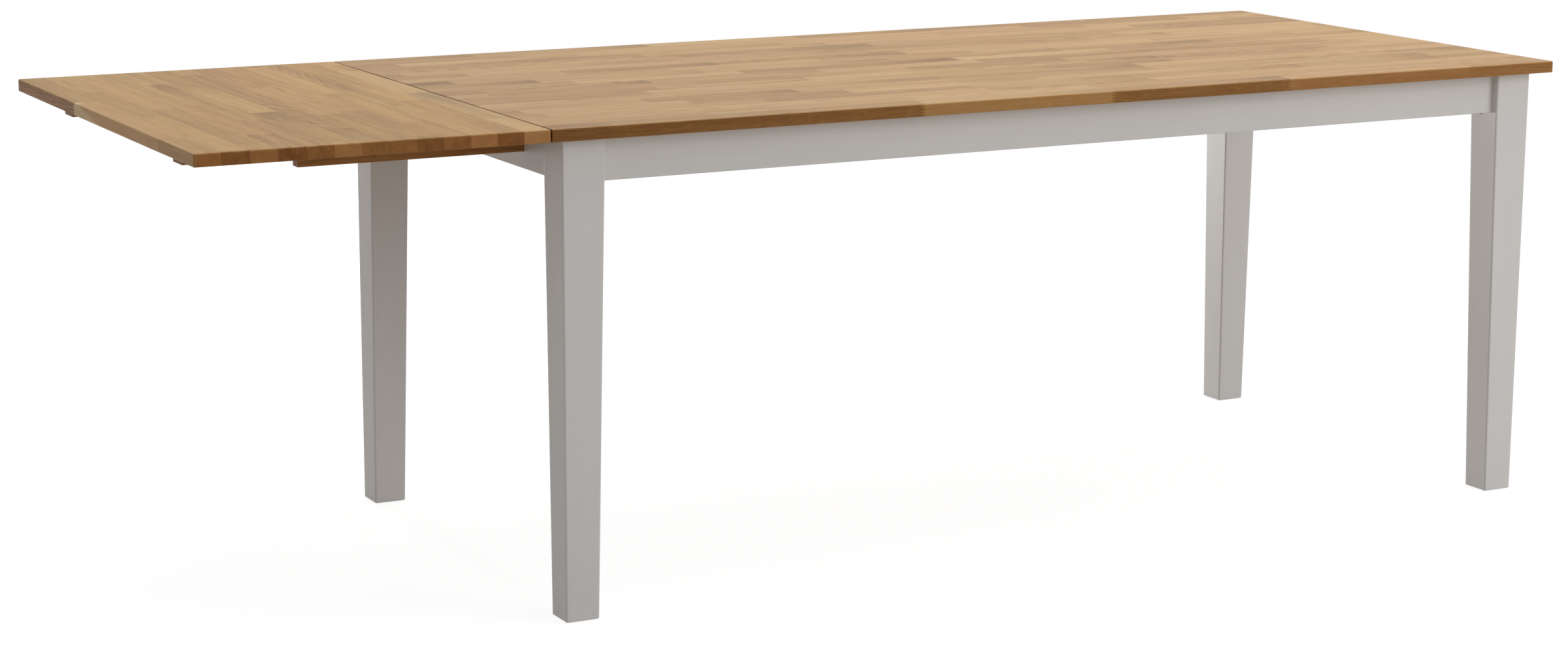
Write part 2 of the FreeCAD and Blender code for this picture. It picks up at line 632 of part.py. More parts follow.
def make_bearers():
    size = ("sizes.bearer_wide", "sizes.bearer_high", "sizes.bearer_round", lengthwise)
    pin_bore = cylinder("stop_pin_bore", "(sizes.stop_pin_dia + sizes.dowel_play)", "sizes.bearer_wide")
    pin_at = (f"{STOP_PIN} - {BEARER_LEFT}", "0", "sizes.bearer_high / 2")
    bearer = drilled("bearer", board("bearer", BEARER_LONG, *size), (pin_bore, [(pin_at, BACKWARD)]))
    pin = cylinder("stop_pin", "sizes.stop_pin_dia", "sizes.bearer_wide + 2 * sizes.stop_pin_out")
    for side in SIDES:
        low = side_y(side, "sizes.bearer_inset", "sizes.bearer_wide")
        place_node(f"bearer_{side}", bearer, (BEARER_LEFT, low, BEARER_BOTTOM), UP)
        pin_place = (STOP_PIN, f"{low} - sizes.stop_pin_out", f"{BEARER_BOTTOM} + sizes.bearer_high / 2")
        place_node(f"bearer_stop_pin_{side}", pin, pin_place, BACKWARD)


# ---- hardware ----


def make_screw(name, kind, grip):
    """Screw that points up, the underside of its head at 0; kind names its sizes in the sheet."""
    head_high = f"sizes.{kind}_head_high"
    head = cylinder(f"{name}_head", f"sizes.{kind}_head_dia", head_high, f"-{head_high}")
    return fuse(name, head, cylinder(f"{name}_shank", f"sizes.{kind}_dia", grip))


def make_brackets():
    body = new_body("bracket_blank")
    outline = new_sketch(body, "bracket_outline")
    end, wall, steel = f"({BEND} + sizes.wing_long)", WALL, "sizes.bracket_steel"
    bend_in = f"({BEND} + {steel} * (sqrt(2) - 1))"
    half = [
        (BEND, wall),
        (f"({end} - {steel})", wall),
        (f"({end} - {steel})", f"({wall} - sizes.lip_long)"),
        (end, f"({wall} - sizes.lip_long)"),
        (end, f"({wall} + {steel})"),
        (bend_in, f"({wall} + {steel})"),
    ]
    polygon(outline, half + [(y, x) for x, y in reversed(half)])
    padded(body, "bracket_plate", outline, "sizes.bracket_high")
    through = f"{steel} + 2 * sizes.over"
    bolt_hole = cylinder("bracket_bolt_hole", "(sizes.bolt_dia + sizes.plate_hole_play)", through)
    bolt_spots = on_diagonal("sizes.bracket_gap - sizes.over", "sizes.bracket_high / 2")
    screw_hole = cylinder("bracket_screw_hole", "(sizes.screw_dia + sizes.screw_play)", through)
    screw_spots = []
    for sign in "-+":
        height = f"sizes.bracket_high / 2 {sign} sizes.wing_screw_spread / 2"
        screw_spots.append(((WING_SCREW, f"{wall} - sizes.over", height), BACKWARD))
        screw_spots.append(((f"{wall} - sizes.over", WING_SCREW, height), RIGHT))
    bracket = drilled("bracket", body, (bolt_hole, bolt_spots), (screw_hole, screw_spots))
    for corner in CORNERS:
        at = in_corner(corner, "0", "0", f"{APRON_MIDDLE} - sizes.bracket_high / 2")
        place_node(f"corner_bracket_{corner}", bracket, at, quarter(TURNS[corner]))

    screw = make_screw("bracket_screw", "screw", f"{steel} + sizes.wing_screw_in_apron")
    spots = []
    for sign in "-+":
        height = f"{APRON_MIDDLE} {sign} sizes.wing_screw_spread / 2"
        spots.append(((WING_SCREW, f"({wall} + {steel})", height), FORWARD))
        spots.append(((f"({wall} + {steel})", WING_SCREW, height), LEFT))
    node(copies("bracket_screws", screw, corner_places(spots)), "bracket_screws")


def make_bolts():
    """Hanger bolts through the brackets into the legs, with their washers and nuts."""
    beyond = "sizes.bracket_gap + sizes.bracket_steel"
    stack = f"{beyond} + sizes.washer_thick + sizes.nut_high + sizes.bolt_past_nut"
    bolt = cylinder("hanger_bolt", "sizes.bolt_dia", f"sizes.bolt_in_leg + {stack}")
    disc = cylinder("washer_disc", "sizes.washer_dia", "sizes.washer_thick")
    washer = cut("hanger_washer", disc, cylinder("washer_bore", BOLT_BORE, "sizes.washer_thick"))
    hexagon = doc.addObject("Part::Prism", "nut_hexagon")
    hexagon.Polygon = 6
    bind(hexagon, Circumradius="sizes.nut_flats / sqrt(3)", Height="sizes.nut_high")
    nut = cut("hanger_nut", hexagon, cylinder("nut_bore", BOLT_BORE, "sizes.nut_high"))
    for label, piece, distance in (
        ("hanger_bolts", bolt, "-sizes.bolt_in_leg"),
        ("hanger_washers", washer, beyond),
        ("hanger_nuts", nut, f"{beyond} + sizes.washer_thick"),
    ):
        node(copies(label, piece, corner_places(on_diagonal(distance, APRON_MIDDLE))), label)


def clip_spots(reach):
    """Points at a distance inward from the aprons' inner faces, with the quarter turns of their clips."""
    xs = evenly(f"({TOP_LEFT} + sizes.clip_first)", f"({TOP_RIGHT} - sizes.clip_first)", CLIP_COUNT)
    spots = [((x, f"{FRONT} + {APRON_IN} + {reach}"), 0) for x in xs]
    spots += [((x, f"{BACK} - {APRON_IN} - ({reach})"), 2) for x in xs]
    for y in ("-sizes.clip_end_spread", "sizes.clip_end_spread"):
        spots.append(((f"{TOP_RIGHT} - {APRON_IN} - ({reach})", y), 1))
        spots.append(((f"{TOP_LEFT} + {APRON_IN} + {reach}", y), 3))
    return spots


def make_clips():
    """Z-shaped clips: the tongue in the apron's groove, the foot under the top."""
    body = new_body("clip_blank")
    outline = new_sketch(body, "clip_outline", "YZ_Plane")
    tongue, drop, steel = "sizes.clip_tongue", "sizes.clip_drop", "sizes.clip_steel"
    web, foot = f"({tongue} + {steel})", f"({tongue} + sizes.clip_foot)"
    under_foot = f"({drop} - {steel})"
    points = [("0", "0"), (web, "0"), (web, under_foot), (foot, under_foot), (foot, drop), (tongue, drop)]
    polygon(outline, points + [(tongue, steel), ("0", steel)])
    padded(body, "clip_plate", outline, "sizes.clip_wide")
    hole = cylinder("clip_hole", SCREW_BORE, f"{steel} + 2 * sizes.over")
    hole_at = ("sizes.clip_wide / 2", f"{tongue} + sizes.clip_screw_at", f"{under_foot} - sizes.over")
    clip = drilled("clip", body, (hole, [(hole_at, UP)]))
    places = []
    for (x, y), turns in clip_spots(f"(-{tongue})"):
        half = "sizes.clip_wide / 2"
        right, back = [(f"-{half}", "0"), ("0", f"-{half}"), (half, "0"), ("0", half)][turns]
        places.append(((f"{x} + {right}", f"{y} + {back}", f"{UNDERSIDE} - {drop}"), quarter(turns)))
    node(copies("top_clips", clip, places), "top_clips")
    screw = make_screw("clip_screw", "screw", f"{steel} + sizes.clip_screw_in_top")
    places = [((x, y, f"{UNDERSIDE} - {steel}"), UP) for (x, y), _ in clip_spots("sizes.clip_screw_at")]
    node(copies("top_clip_screws", screw, places), "top_clip_screws")


# ---- check and write ----


def check():
    for thing in doc.Objects:
        if {"Invalid", "Error"} & set(thing.State):
            raise RuntimeError(f"{thing.Name} failed: {thing.State}")
        if thing.TypeId in ("PartDesign::Pocket", "PartDesign::SubtractiveBox"):
            if thing.Shape.Volume >= thing.BaseFeature.Shape.Volume:
                raise RuntimeError(f"{thing.Name} cuts nothing")
    for thing in nodes:
        if thing.Shape.isNull() or not thing.Shape.isValid() or not thing.Shape.Solids:
            raise RuntimeError(f"{thing.Label} has no valid shape")


def main():
    make_sheet()
    make_top()
    make_leaf()
    make_bearers()
    make_legs()
    make_aprons()
    make_cross_rails()
    make_brackets()
    make_bolts()
    make_clips()
    doc.recompute()
    check()
    os.makedirs("parts", exist_ok=True)
    for thing in nodes:
        thing.Shape.exportStep(f"parts/{thing.Label}.step")
        bounds = thing.Shape.BoundBox
        print(thing.Label, len(thing.Shape.Solids), "solids", bounds)


main()
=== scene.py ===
"""Looks of an extending dining table: oak top and end leaf, painted frame, zinc-plated fittings.

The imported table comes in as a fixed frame. Its boards, bars, legs, aprons and rails keep their meshes and
get finishes. Screws, bolts, nuts, washers, dowels and glides are made anew in Geometry Nodes, and brackets
and clips are copies with eased edges. Sizes are in metres, and those of a pattern in millimetres.
"""

from functools import partial
from math import pi, radians, sqrt

import bmesh
import bpy
import numpy as np
from mathutils import Matrix, Vector


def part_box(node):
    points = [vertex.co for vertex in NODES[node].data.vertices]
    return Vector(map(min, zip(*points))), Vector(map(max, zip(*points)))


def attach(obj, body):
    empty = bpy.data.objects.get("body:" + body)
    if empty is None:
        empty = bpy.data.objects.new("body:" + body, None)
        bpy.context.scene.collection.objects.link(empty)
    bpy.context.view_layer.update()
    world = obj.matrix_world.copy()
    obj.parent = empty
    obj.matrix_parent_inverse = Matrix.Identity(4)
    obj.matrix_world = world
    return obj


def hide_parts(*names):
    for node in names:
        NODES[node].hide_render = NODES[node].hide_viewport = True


bl_info = {
    "name": "Extending dining table",
    "version": (1, 0, 0),
    "blender": (4, 5, 0),
    "location": "3D View > Sidebar > Table",
    "description": "Dresses the frame of a dining table with one end leaf",
    "category": "Object",
}

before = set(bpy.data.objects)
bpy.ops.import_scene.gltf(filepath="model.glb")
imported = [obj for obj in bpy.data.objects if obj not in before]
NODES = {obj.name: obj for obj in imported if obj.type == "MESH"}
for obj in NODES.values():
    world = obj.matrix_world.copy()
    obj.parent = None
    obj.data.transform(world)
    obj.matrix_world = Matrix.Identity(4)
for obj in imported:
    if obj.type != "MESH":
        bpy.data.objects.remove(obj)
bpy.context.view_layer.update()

MM = 1000.0  # millimetres in a metre
MERGE = 1e-5  # corners of a CAD mesh that lie nearer than this are one
WHITE = (1.0, 1.0, 1.0, 1.0)
# the turns that lay grain along x, when it runs along x, y or z
ALONG_X, ALONG_Y, ALONG_Z = (0.0, 0.0, 0.0), (0.0, 0.0, radians(-90)), (0.0, radians(90), 0.0)


# ---------------- colours and nodes

def linear(code):
    """The linear colour of an sRGB hex value."""
    shares = [int(code[i:i + 2], 16) / 255 for i in (1, 3, 5)]
    return [s / 12.92 if s <= 0.04045 else ((s + 0.055) / 1.055) ** 2.4 for s in shares]


def link(tree, node, inputs):
    """Set inputs, in order or by name, to values, sockets, nodes or lists of nodes."""
    open_inputs = [socket for socket in node.inputs if socket.enabled]
    for key, value in inputs.items() if isinstance(inputs, dict) else enumerate(inputs):
        socket = open_inputs[key] if isinstance(key, int) else next(s for s in open_inputs if s.name == key)
        for part in value if isinstance(value, list) else [value]:
            if isinstance(part, bpy.types.Node):
                part = next(s for s in part.outputs if s.enabled)
            if isinstance(part, bpy.types.NodeSocket):
                tree.links.new(part, socket)
            else:
                socket.default_value = part


def add(tree, kind, inputs=(), **settings):
    """Add one node with its settings and inputs."""
    node = tree.nodes.new(kind)
    for name, value in settings.items():
        setattr(node, name, value)
    link(tree, node, inputs)
    return node


def empty_tree(owner):
    """Clear the nodes of a material or a world; the way to add new ones."""
    owner.use_nodes = True
    owner.node_tree.nodes.clear()
    return partial(add, owner.node_tree)


def new_finish(name, turn=ALONG_X, start=(0.0, 0.0, 0.0)):
    """A material, the way to add nodes to it, and the place in mm, turned so that grain runs along x."""
    material = bpy.data.materials.new(name)
    put = empty_tree(material)
    on_piece = put("ShaderNodeTexCoord").outputs["Object"]
    place = put("ShaderNodeMapping",
                {"Vector": on_piece, "Location": start, "Rotation": turn, "Scale": (MM, MM, MM)})
    return material, put, place


def end_finish(put, colour, gloss, height, strength, depth, shine):
    """Make a surface of a colour, a roughness, a bump whose depth is in metres, and numbers for its shine."""
    bump = put("ShaderNodeBump", {"Strength": strength, "Distance": depth, "Height": height})
    shader = put("ShaderNodeBsdfPrincipled",
                 {"Base Color": colour, "Roughness": gloss, "Normal": bump, **shine})
    put("ShaderNodeOutputMaterial", {"Surface": shader})


def drawn_out(put, place, length, width, detail, roughness=0.5):
    """A noise whose marks are drawn out along x, with their size in the place's own unit."""
    at = put("ShaderNodeMapping", {"Vector": place, "Scale": (1 / length, 1 / width, 1 / width)})
    return put("ShaderNodeTexNoise", {"Vector": at, "Scale": 1.0, "Detail": detail, "Roughness": roughness})


def set_stops(ramp, stops):
    """Give a colour ramp its stops: (place, linear colour)."""
    elements = ramp.color_ramp.elements
    while len(elements) < len(stops):
        elements.new(0.5)
    for element, (place, colour) in zip(elements, stops):
        element.position = place
        element.color = (*colour, 1.0)


def finish_nodes(names, material):
    """Give CAD nodes a finish."""
    for name in names:
        for slot in NODES[name].material_slots:
            slot.material = material


# ---------------- turned and repeated pieces

def solids(node):
    """The corners of each separate solid of a CAD node."""
    form = bmesh.new()
    form.from_mesh(NODES[node].data)
    bmesh.ops.remove_doubles(form, verts=form.verts, dist=MERGE)
    form.verts.ensure_lookup_table()
    unseen, found = set(range(len(form.verts))), []
    while unseen:
        solid, front = [], [form.verts[min(unseen)]]
        unseen.discard(front[0].index)
        while front:
            corner = front.pop()
            solid.append(corner.co[:])
            for edge in corner.link_edges:
                other = edge.other_vert(corner)
                if other.index in unseen:
                    unseen.discard(other.index)
                    front.append(other)
        found.append(np.array(solid))
    form.free()
    return found


def aims(node, flat=False):
    """Where a node's round solids stand: the middle of the wider end, the way to the other end, the length.

    A long solid points along its length, and a flat one across its face.
    """
    found = []
    at_end = 0.0004  # corners that lie nearer to an end than this belong to it
    for corners in solids(node):
        spread = np.linalg.svd(corners - corners.mean(0), full_matrices=False)[2]
        # snapped to an axis, or to the diagonal between two
        way = np.round(spread[2 if flat else 0] * 1.2)
        way /= np.linalg.norm(way)
        side = np.cross(way, (0, 0, 1) if abs(way[2]) < 0.5 else (1, 0, 0))
        axes = np.array([way, side, np.cross(way, side)])
        upright = corners @ axes.T
        low, high = upright.min(0), upright.max(0)
        centre = (low + high)[1:] / 2
        out = np.linalg.norm(upright[:, 1:] - centre, axis=1)
        near, far = (out[np.abs(upright[:, 0] - end) < at_end].max() for end in (low[0], high[0]))
        start = low[0] if near >= far else high[0]
        found.append((Vector(axes.T @ np.array([start, *centre])), Vector(way if near >= far else -way),
                      high[0] - low[0]))
    return found


def new_tree(name, sizes, finishes=("Finish",)):
    """A Geometry Nodes tree whose inputs are places, finishes and sizes in metres.

    Each size has the shares of it that the shape needs. Returned are the tree, the way to add nodes, the
    inputs and those shares.
    """
    tree = bpy.data.node_groups.new(name, "GeometryNodeTree")
    tree.interface.new_socket("Places", in_out="INPUT", socket_type="NodeSocketGeometry")
    for finish in finishes:
        tree.interface.new_socket(finish, in_out="INPUT", socket_type="NodeSocketMaterial")
    for size in sizes:
        tree.interface.new_socket(size, in_out="INPUT", socket_type="NodeSocketFloat").subtype = "DISTANCE"
    tree.interface.new_socket("Pieces", in_out="OUTPUT", socket_type="NodeSocketGeometry")
    put = partial(add, tree)
    given = put("NodeGroupInput").outputs
    parts = [[put("ShaderNodeMath", (given[size], share), operation="MULTIPLY") for share in shares]
             for size, shares in sizes.items()]
    return tree, put, given, parts


def turned(tree, around, stations, flute=None):
    """A closed solid, turned round z through stations of (radius, height), each a number, a node or a socket.

    A flute depth is taken off every other line of the surface.
    """
    put = partial(add, tree)
    grid = put("GeometryNodeMeshGrid", {"Vertices X": around + 1, "Vertices Y": len(stations)})
    index = put("GeometryNodeInputIndex")
    line = put("ShaderNodeMath", (index, len(stations)), operation="DIVIDE")
    line = put("ShaderNodeMath", (line,), operation="FLOOR")
    station = put("ShaderNodeMath", (line, -len(stations), index), operation="MULTIPLY_ADD")
    chosen = []
    for values in zip(*stations):
        switch = put("GeometryNodeIndexSwitch", data_type="FLOAT")
        for _ in stations[2:]:
            switch.index_switch_items.new()
        link(tree, switch, (station, *values))
        chosen.append(switch)
    radius, height = chosen
    if flute is not None:
        odd = put("ShaderNodeMath", (line, 2.0), operation="FLOORED_MODULO")
        inwards = put("ShaderNodeMath", (flute, -1.0), operation="MULTIPLY")
        cut = put("ShaderNodeMath", (odd, inwards, radius), operation="MULTIPLY_ADD")
        radius = put("ShaderNodeMath", (cut, 0.0), operation="MAXIMUM")
    angle = put("ShaderNodeMath", (line, 2 * pi / around), operation="MULTIPLY")
    round_z = [put("ShaderNodeMath", (put("ShaderNodeMath", (angle,), operation=wave), radius),
                   operation="MULTIPLY") for wave in ("COSINE", "SINE")]
    place = put("ShaderNodeCombineXYZ", (*round_z, height))
    bent = put("GeometryNodeSetPosition", {"Geometry": grid, "Position": place})
    return put("GeometryNodeMergeByDistance", {"Geometry": bent, "Distance": 1e-6})


def end_tree(tree, given, shape):
    """Stand the shape at every place, z along the place's aim and turned by chance, and end the tree."""
    put = partial(add, tree)
    aim = put("GeometryNodeInputNamedAttribute", {"Name": "aim"}, data_type="FLOAT_VECTOR")
    along = put("FunctionNodeAlignRotationToVector", {"Vector": aim}, axis="Z")
    chance = put("FunctionNodeRandomValue", {"Max": 2 * pi, "Seed": 5}, data_type="FLOAT")
    spin = put("FunctionNodeAxisAngleToRotation", {"Axis": (0.0, 0.0, 1.0), "Angle": chance})
    stand = put("FunctionNodeRotateRotation", {"Rotation": along, "Rotate By": spin}, rotation_space="LOCAL")
    pieces = put("GeometryNodeInstanceOnPoints",
                 {"Points": given["Places"], "Instance": shape, "Rotation": stand})
    plain = put("GeometryNodeRealizeInstances", (pieces,))
    if "Finish" in given:
        plain = put("GeometryNodeSetMaterial", {"Geometry": plain, "Material": given["Finish"]})
    put("NodeGroupOutput", (plain,))
    return tree


def screw_tree():
    """A pan-head wood screw with a cross recess, its z from the top of the head to the tip."""
    tree, put, given, (head, rise, (shank,), _) = new_tree("pan_head_wood_screw", {
        "Head Width": (0.30, 0.42, 0.48, 0.50, 0.46, 0.11), "Head Height": (0.10, 0.30, 0.60),
        "Shank Width": (0.5,), "Length": ()})
    under, tip = given["Head Height"], given["Length"]
    point = put("ShaderNodeMath", (tip, given["Shank Width"]), operation="SUBTRACT")
    blank = turned(tree, 20, [
        (0.0, 0.0), (head[0], 0.0), (head[1], rise[0]), (head[2], rise[1]), (head[3], rise[2]),
        (head[3], under), (shank, under), (shank, point), (0.0, tip)])
    long, short = head[4:]
    bars = [put("GeometryNodeMeshCube", (put("ShaderNodeCombineXYZ", (*sides, under)),))
            for sides in ((long, short), (short, long))]
    return end_tree(tree, given, put("GeometryNodeMeshBoolean", {"Mesh 1": blank, "Mesh 2": bars},
                                     operation="DIFFERENCE", solver="EXACT"))


def bolt_tree():
    """The bolt end of a hanger bolt: a core with a rolled helical thread, its z from the free end inwards."""
    tree, put, given, ((outside,), *_) = new_tree("hanger_bolt", {
        "Width": (0.5,), "Thread Depth": (), "Pitch": (), "Threaded Length": (), "Length": ()})
    depth, threaded = given["Thread Depth"], given["Threaded Length"]
    core = put("ShaderNodeMath", (outside, depth), operation="SUBTRACT")
    blunt = put("ShaderNodeMath", (core, depth), operation="SUBTRACT")
    point = put("ShaderNodeMath", (given["Length"], given["Width"]), operation="SUBTRACT")
    rod = turned(tree, 20, [(0.0, 0.0), (blunt, 0.0), (core, depth), (core, point), (0.0, given["Length"])])
    turns = put("ShaderNodeMath", (threaded, given["Pitch"]), operation="DIVIDE")
    helix = put("GeometryNodeCurveSpiral", {"Resolution": 20, "Rotations": turns, "Start Radius": core,
                                            "End Radius": core, "Height": threaded})
    ridge = put("GeometryNodeCurvePrimitiveCircle", {"Resolution": 4, "Radius": depth})
    thread = put("GeometryNodeCurveToMesh", {"Curve": helix, "Profile Curve": ridge, "Fill Caps": True})
    lift = put("ShaderNodeCombineXYZ", (0.0, 0.0, given["Pitch"]))
    lifted = put("GeometryNodeTransform", {"Geometry": thread, "Translation": lift})
    return end_tree(tree, given, put("GeometryNodeJoinGeometry", ([rod, lifted],)))


def nut_tree():
    """A hexagon nut, chamfered on both faces, with a countersunk bore."""
    tree, put, given, ((corner, crown, wide), heights, (bore, sunk)) = new_tree("hexagon_nut", {
        "Flats": (1 / sqrt(3), 0.475, 0.6), "Height": (0.5, 1.2, 0.13, 0.87, 1.0, -0.1, 0.1, 0.9, 1.1),
        "Bore": (0.5, 0.56)})
    half, longer, low, high, top, under, inner, outer, over = heights
    bar = put("GeometryNodeMeshCylinder", {"Vertices": 6, "Radius": corner, "Depth": longer})
    # turned by 2 degrees, so that its corners miss the lines of the lens
    middle = put("ShaderNodeCombineXYZ", (0.0, 0.0, half))
    bar = put("GeometryNodeTransform",
              {"Geometry": bar, "Translation": middle, "Rotation": (0.0, 0.0, radians(2))})
    lens = turned(tree, 36, [(0.0, 0.0), (crown, 0.0), (wide, low), (wide, high), (crown, top), (0.0, top)])
    hexagon = put("GeometryNodeMeshBoolean", {"Mesh": [bar, lens]}, operation="INTERSECT", solver="EXACT")
    drill = turned(tree, 24, [(0.0, under), (sunk, under), (bore, inner), (bore, outer), (sunk, over),
                              (0.0, over)])
    return end_tree(tree, given, put("GeometryNodeMeshBoolean", {"Mesh 1": hexagon, "Mesh 2": drill},
                                     operation="DIFFERENCE", solver="EXACT"))


def washer_tree():
    """A flat washer with its rims broken."""
    tree, put, given, ((outside,), (inside,), (broken, upper)) = new_tree("flat_washer", {
        "Width": (0.5,), "Bore": (0.5,), "Thickness": (0.18, 0.82)})
    top = given["Thickness"]
    wider = put("ShaderNodeMath", (inside, broken), operation="ADD")
    less = put("ShaderNodeMath", (outside, broken), operation="SUBTRACT")
    return end_tree(tree, given, turned(tree, 32, [
        (inside, broken), (wider, 0.0), (less, 0.0), (outside, broken), (outside, upper), (less, top),
        (wider, top), (inside, upper), (inside, broken)]))


def dowel_tree():
    """A round dowel with chamfered ends, fluted where a flute depth is given."""
    tree, put, given, ((outside,), *_) = new_tree("dowel", {
        "Width": (0.5,), "Length": (), "Chamfer": (), "Flute Depth": ()})
    end, chamfer = given["Length"], given["Chamfer"]
    face = put("ShaderNodeMath", (outside, chamfer), operation="SUBTRACT")
    shoulder = put("ShaderNodeMath", (end, chamfer), operation="SUBTRACT")
    return end_tree(tree, given, turned(tree, 32, [
        (0.0, 0.0), (face, 0.0), (outside, chamfer), (outside, shoulder), (face, end), (0.0, end)],
        given["Flute Depth"]))


def glide_tree():
    """A nail-on glide: a moulded foot with a rounded rim, and its nail with the head sunk in the sole."""
    tree, put, given, (rim, rise, (nail, head, well), _) = new_tree("nail_on_glide", {
        "Width": (0.465, 0.488, 0.5), "Thickness": (0.12, 0.4, 0.9), "Nail Width": (0.5, 1.3, 1.6),
        "Length": ()}, ("Foot Finish", "Nail Finish"))
    top, tip = given["Thickness"], given["Length"]
    foot = turned(tree, 40, [(0.0, rise[1]), (well, rise[1]), (well, 0.0), (rim[0], 0.0), (rim[1], rise[0]),
                             (rim[2], rise[1]), (rim[2], rise[2]), (rim[1], top), (0.0, top)])
    point = put("ShaderNodeMath", (tip, given["Nail Width"]), operation="SUBTRACT")
    pin = turned(tree, 20, [(0.0, rise[0]), (nail, rise[0]), (head, rise[1]), (nail, rise[2]), (nail, point),
                            (0.0, tip)])
    both = [put("GeometryNodeSetMaterial", {"Geometry": part, "Material": given[finish]})
            for part, finish in ((foot, "Foot Finish"), (pin, "Nail Finish"))]
    return end_tree(tree, given, put("GeometryNodeJoinGeometry", (both,)))


def plain_mesh(holder):
    """The mesh that an object's modifiers make; the object goes."""
    bpy.context.scene.collection.objects.link(holder)
    bpy.context.view_layer.update()
    mesh = bpy.data.meshes.new_from_object(holder.evaluated_get(bpy.context.evaluated_depsgraph_get()))
    holder.modifiers.clear()
    bpy.data.objects.remove(holder)
    return mesh


def show(node, how, mesh, body):
    """Show a mesh on a body in place of a CAD node."""
    if not mesh.polygons:
        raise RuntimeError(f"{node} came out empty")
    mesh.shade_smooth()
    mesh.set_sharp_from_angle(angle=radians(32))
    piece = bpy.data.objects.new(f"{node}_{how}", mesh)
    bpy.context.scene.collection.objects.link(piece)
    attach(piece, body)
    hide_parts(node)


def set_pieces(node, how, tree, places, inputs, body):
    """Run a tree at the places and show the result on a body in place of a CAD node."""
    spots = bpy.data.meshes.new("places")
    spots.from_pydata([place for place, _, _ in places], [], [])
    aim = spots.attributes.new("aim", "FLOAT_VECTOR", "POINT")
    for entry, (_, way, _) in zip(aim.data, places):
        entry.vector = way
    holder = bpy.data.objects.new("places", spots)
    modifier = holder.modifiers.new("pieces", "NODES")
    modifier.node_group = tree
    for item in tree.interface.items_tree:
        if item.in_out == "INPUT" and item.name in inputs:
            modifier[item.identifier] = inputs[item.name]
    mesh = plain_mesh(holder)
    form = bmesh.new()
    form.from_mesh(mesh)
    bmesh.ops.recalc_face_normals(form, faces=form.faces)
    form.to_mesh(mesh)
    form.free()
    show(node, how, mesh, body)


def ease(node, width, material, body):
    """Show a copy of a CAD node with its sharp edges rounded by a small width."""
    mesh = NODES[node].data.copy()
    form = bmesh.new()
    form.from_mesh(mesh)
    bmesh.ops.remove_doubles(form, verts=form.verts, dist=MERGE)
    bmesh.ops.dissolve_limit(form, angle_limit=radians(2), verts=form.verts, edges=form.edges)
    form.to_mesh(mesh)
    form.free()
    mesh.materials.clear()
    mesh.materials.append(material)
    holder = bpy.data.objects.new("eased", mesh)
    bevel = holder.modifiers.new("eased", "BEVEL")
    bevel.width, bevel.segments, bevel.limit_method, bevel.angle_limit = width, 2, "ANGLE", radians(35)
    show(node, "eased", plain_mesh(holder), body)


# ---------------- sizes and colours to change

Length = partial(bpy.props.FloatProperty, unit="LENGTH")
Colour = partial(bpy.props.FloatVectorProperty, subtype="COLOR", min=0, max=1)


class OakSettings(bpy.types.PropertyGroup):
    """Glued oak staves of the top and the leaf."""
    stave_width: Length(name="Stave width", description="Width of one glued stave", default=0.0409)
    top_stave: Length(
        name="Top stave length", description="Usual length of a stave in the main top", default=0.33)
    leaf_stave: Length(
        name="Leaf stave length", description="Usual length of a stave in the leaf", default=0.345)
    ring: Length(name="Ring width", description="Usual width of one year's growth", default=0.0028)
    pale: Colour(name="Pale oak", description="Palest staves", default=linear("#D1AE7D"))
    middle: Colour(name="Middle oak", description="Most staves", default=linear("#B58F5F"))
    deep: Colour(name="Deep oak", description="Pores and the darkest staves", default=linear("#7A5630"))
    # painted shade: the leaf's colours are cut deeper and more golden, standing for the lesser sheen on the
    # leaf than on the main top
    leaf_painted_shade: Colour(
        name="Leaf cast", description="Share of the colours left on the leaf, which is from another batch",
        default=(1.0, 0.95, 0.74))
    sap: Colour(
        name="Sapwood", description="Pale outer wood on one stave of the leaf", default=linear("#DFC595"))
    # painted shade: this share darkens the edges, so that the upper faces stay paler as if sheened at a low
    # view
    edge: Colour(
        name="Edge", description="Share of the colours left on sawn edges", default=(0.86, 0.70, 0.55))


class PaintSettings(bpy.types.PropertyGroup):
    """Paint of the legs and aprons."""
    colour: Colour(name="Paint", description="Colour of the frame", default=linear("#D9D8D7"))


class FittingSettings(bpy.types.PropertyGroup):
    """Screws, bolts, dowels and glides."""
    screw_head: Length(
        name="Screw head", description="Width of the bracket and clip screws' heads", default=0.008)
    screw: Length(name="Screw", description="Width of the bracket and clip screws", default=0.004)
    bolt: Length(name="Bolt", description="Width of the hanger bolts", default=0.008)
    pitch: Length(name="Pitch", description="Pitch of the bolts' thread", default=0.00125)
    flats: Length(name="Nut flats", description="Width of the nuts across their flats", default=0.013)
    washer: Length(name="Washer", description="Width of the washers", default=0.016)
    dowel: Length(name="Dowel", description="Width of the dowels and stop pins", default=0.008)
    glide: Length(name="Glide", description="Width of the glides", default=0.040)


class StageSettings(bpy.types.PropertyGroup):
    """Light and camera."""
    sky: bpy.props.FloatProperty(
        name="Sky", description="Strength of the even light from all sides", default=0.40)
    lens: bpy.props.FloatProperty(
        name="Lens", description="Focal length on a 36 mm wide sensor", default=75.282, unit="CAMERA")


# ---------------- finishes

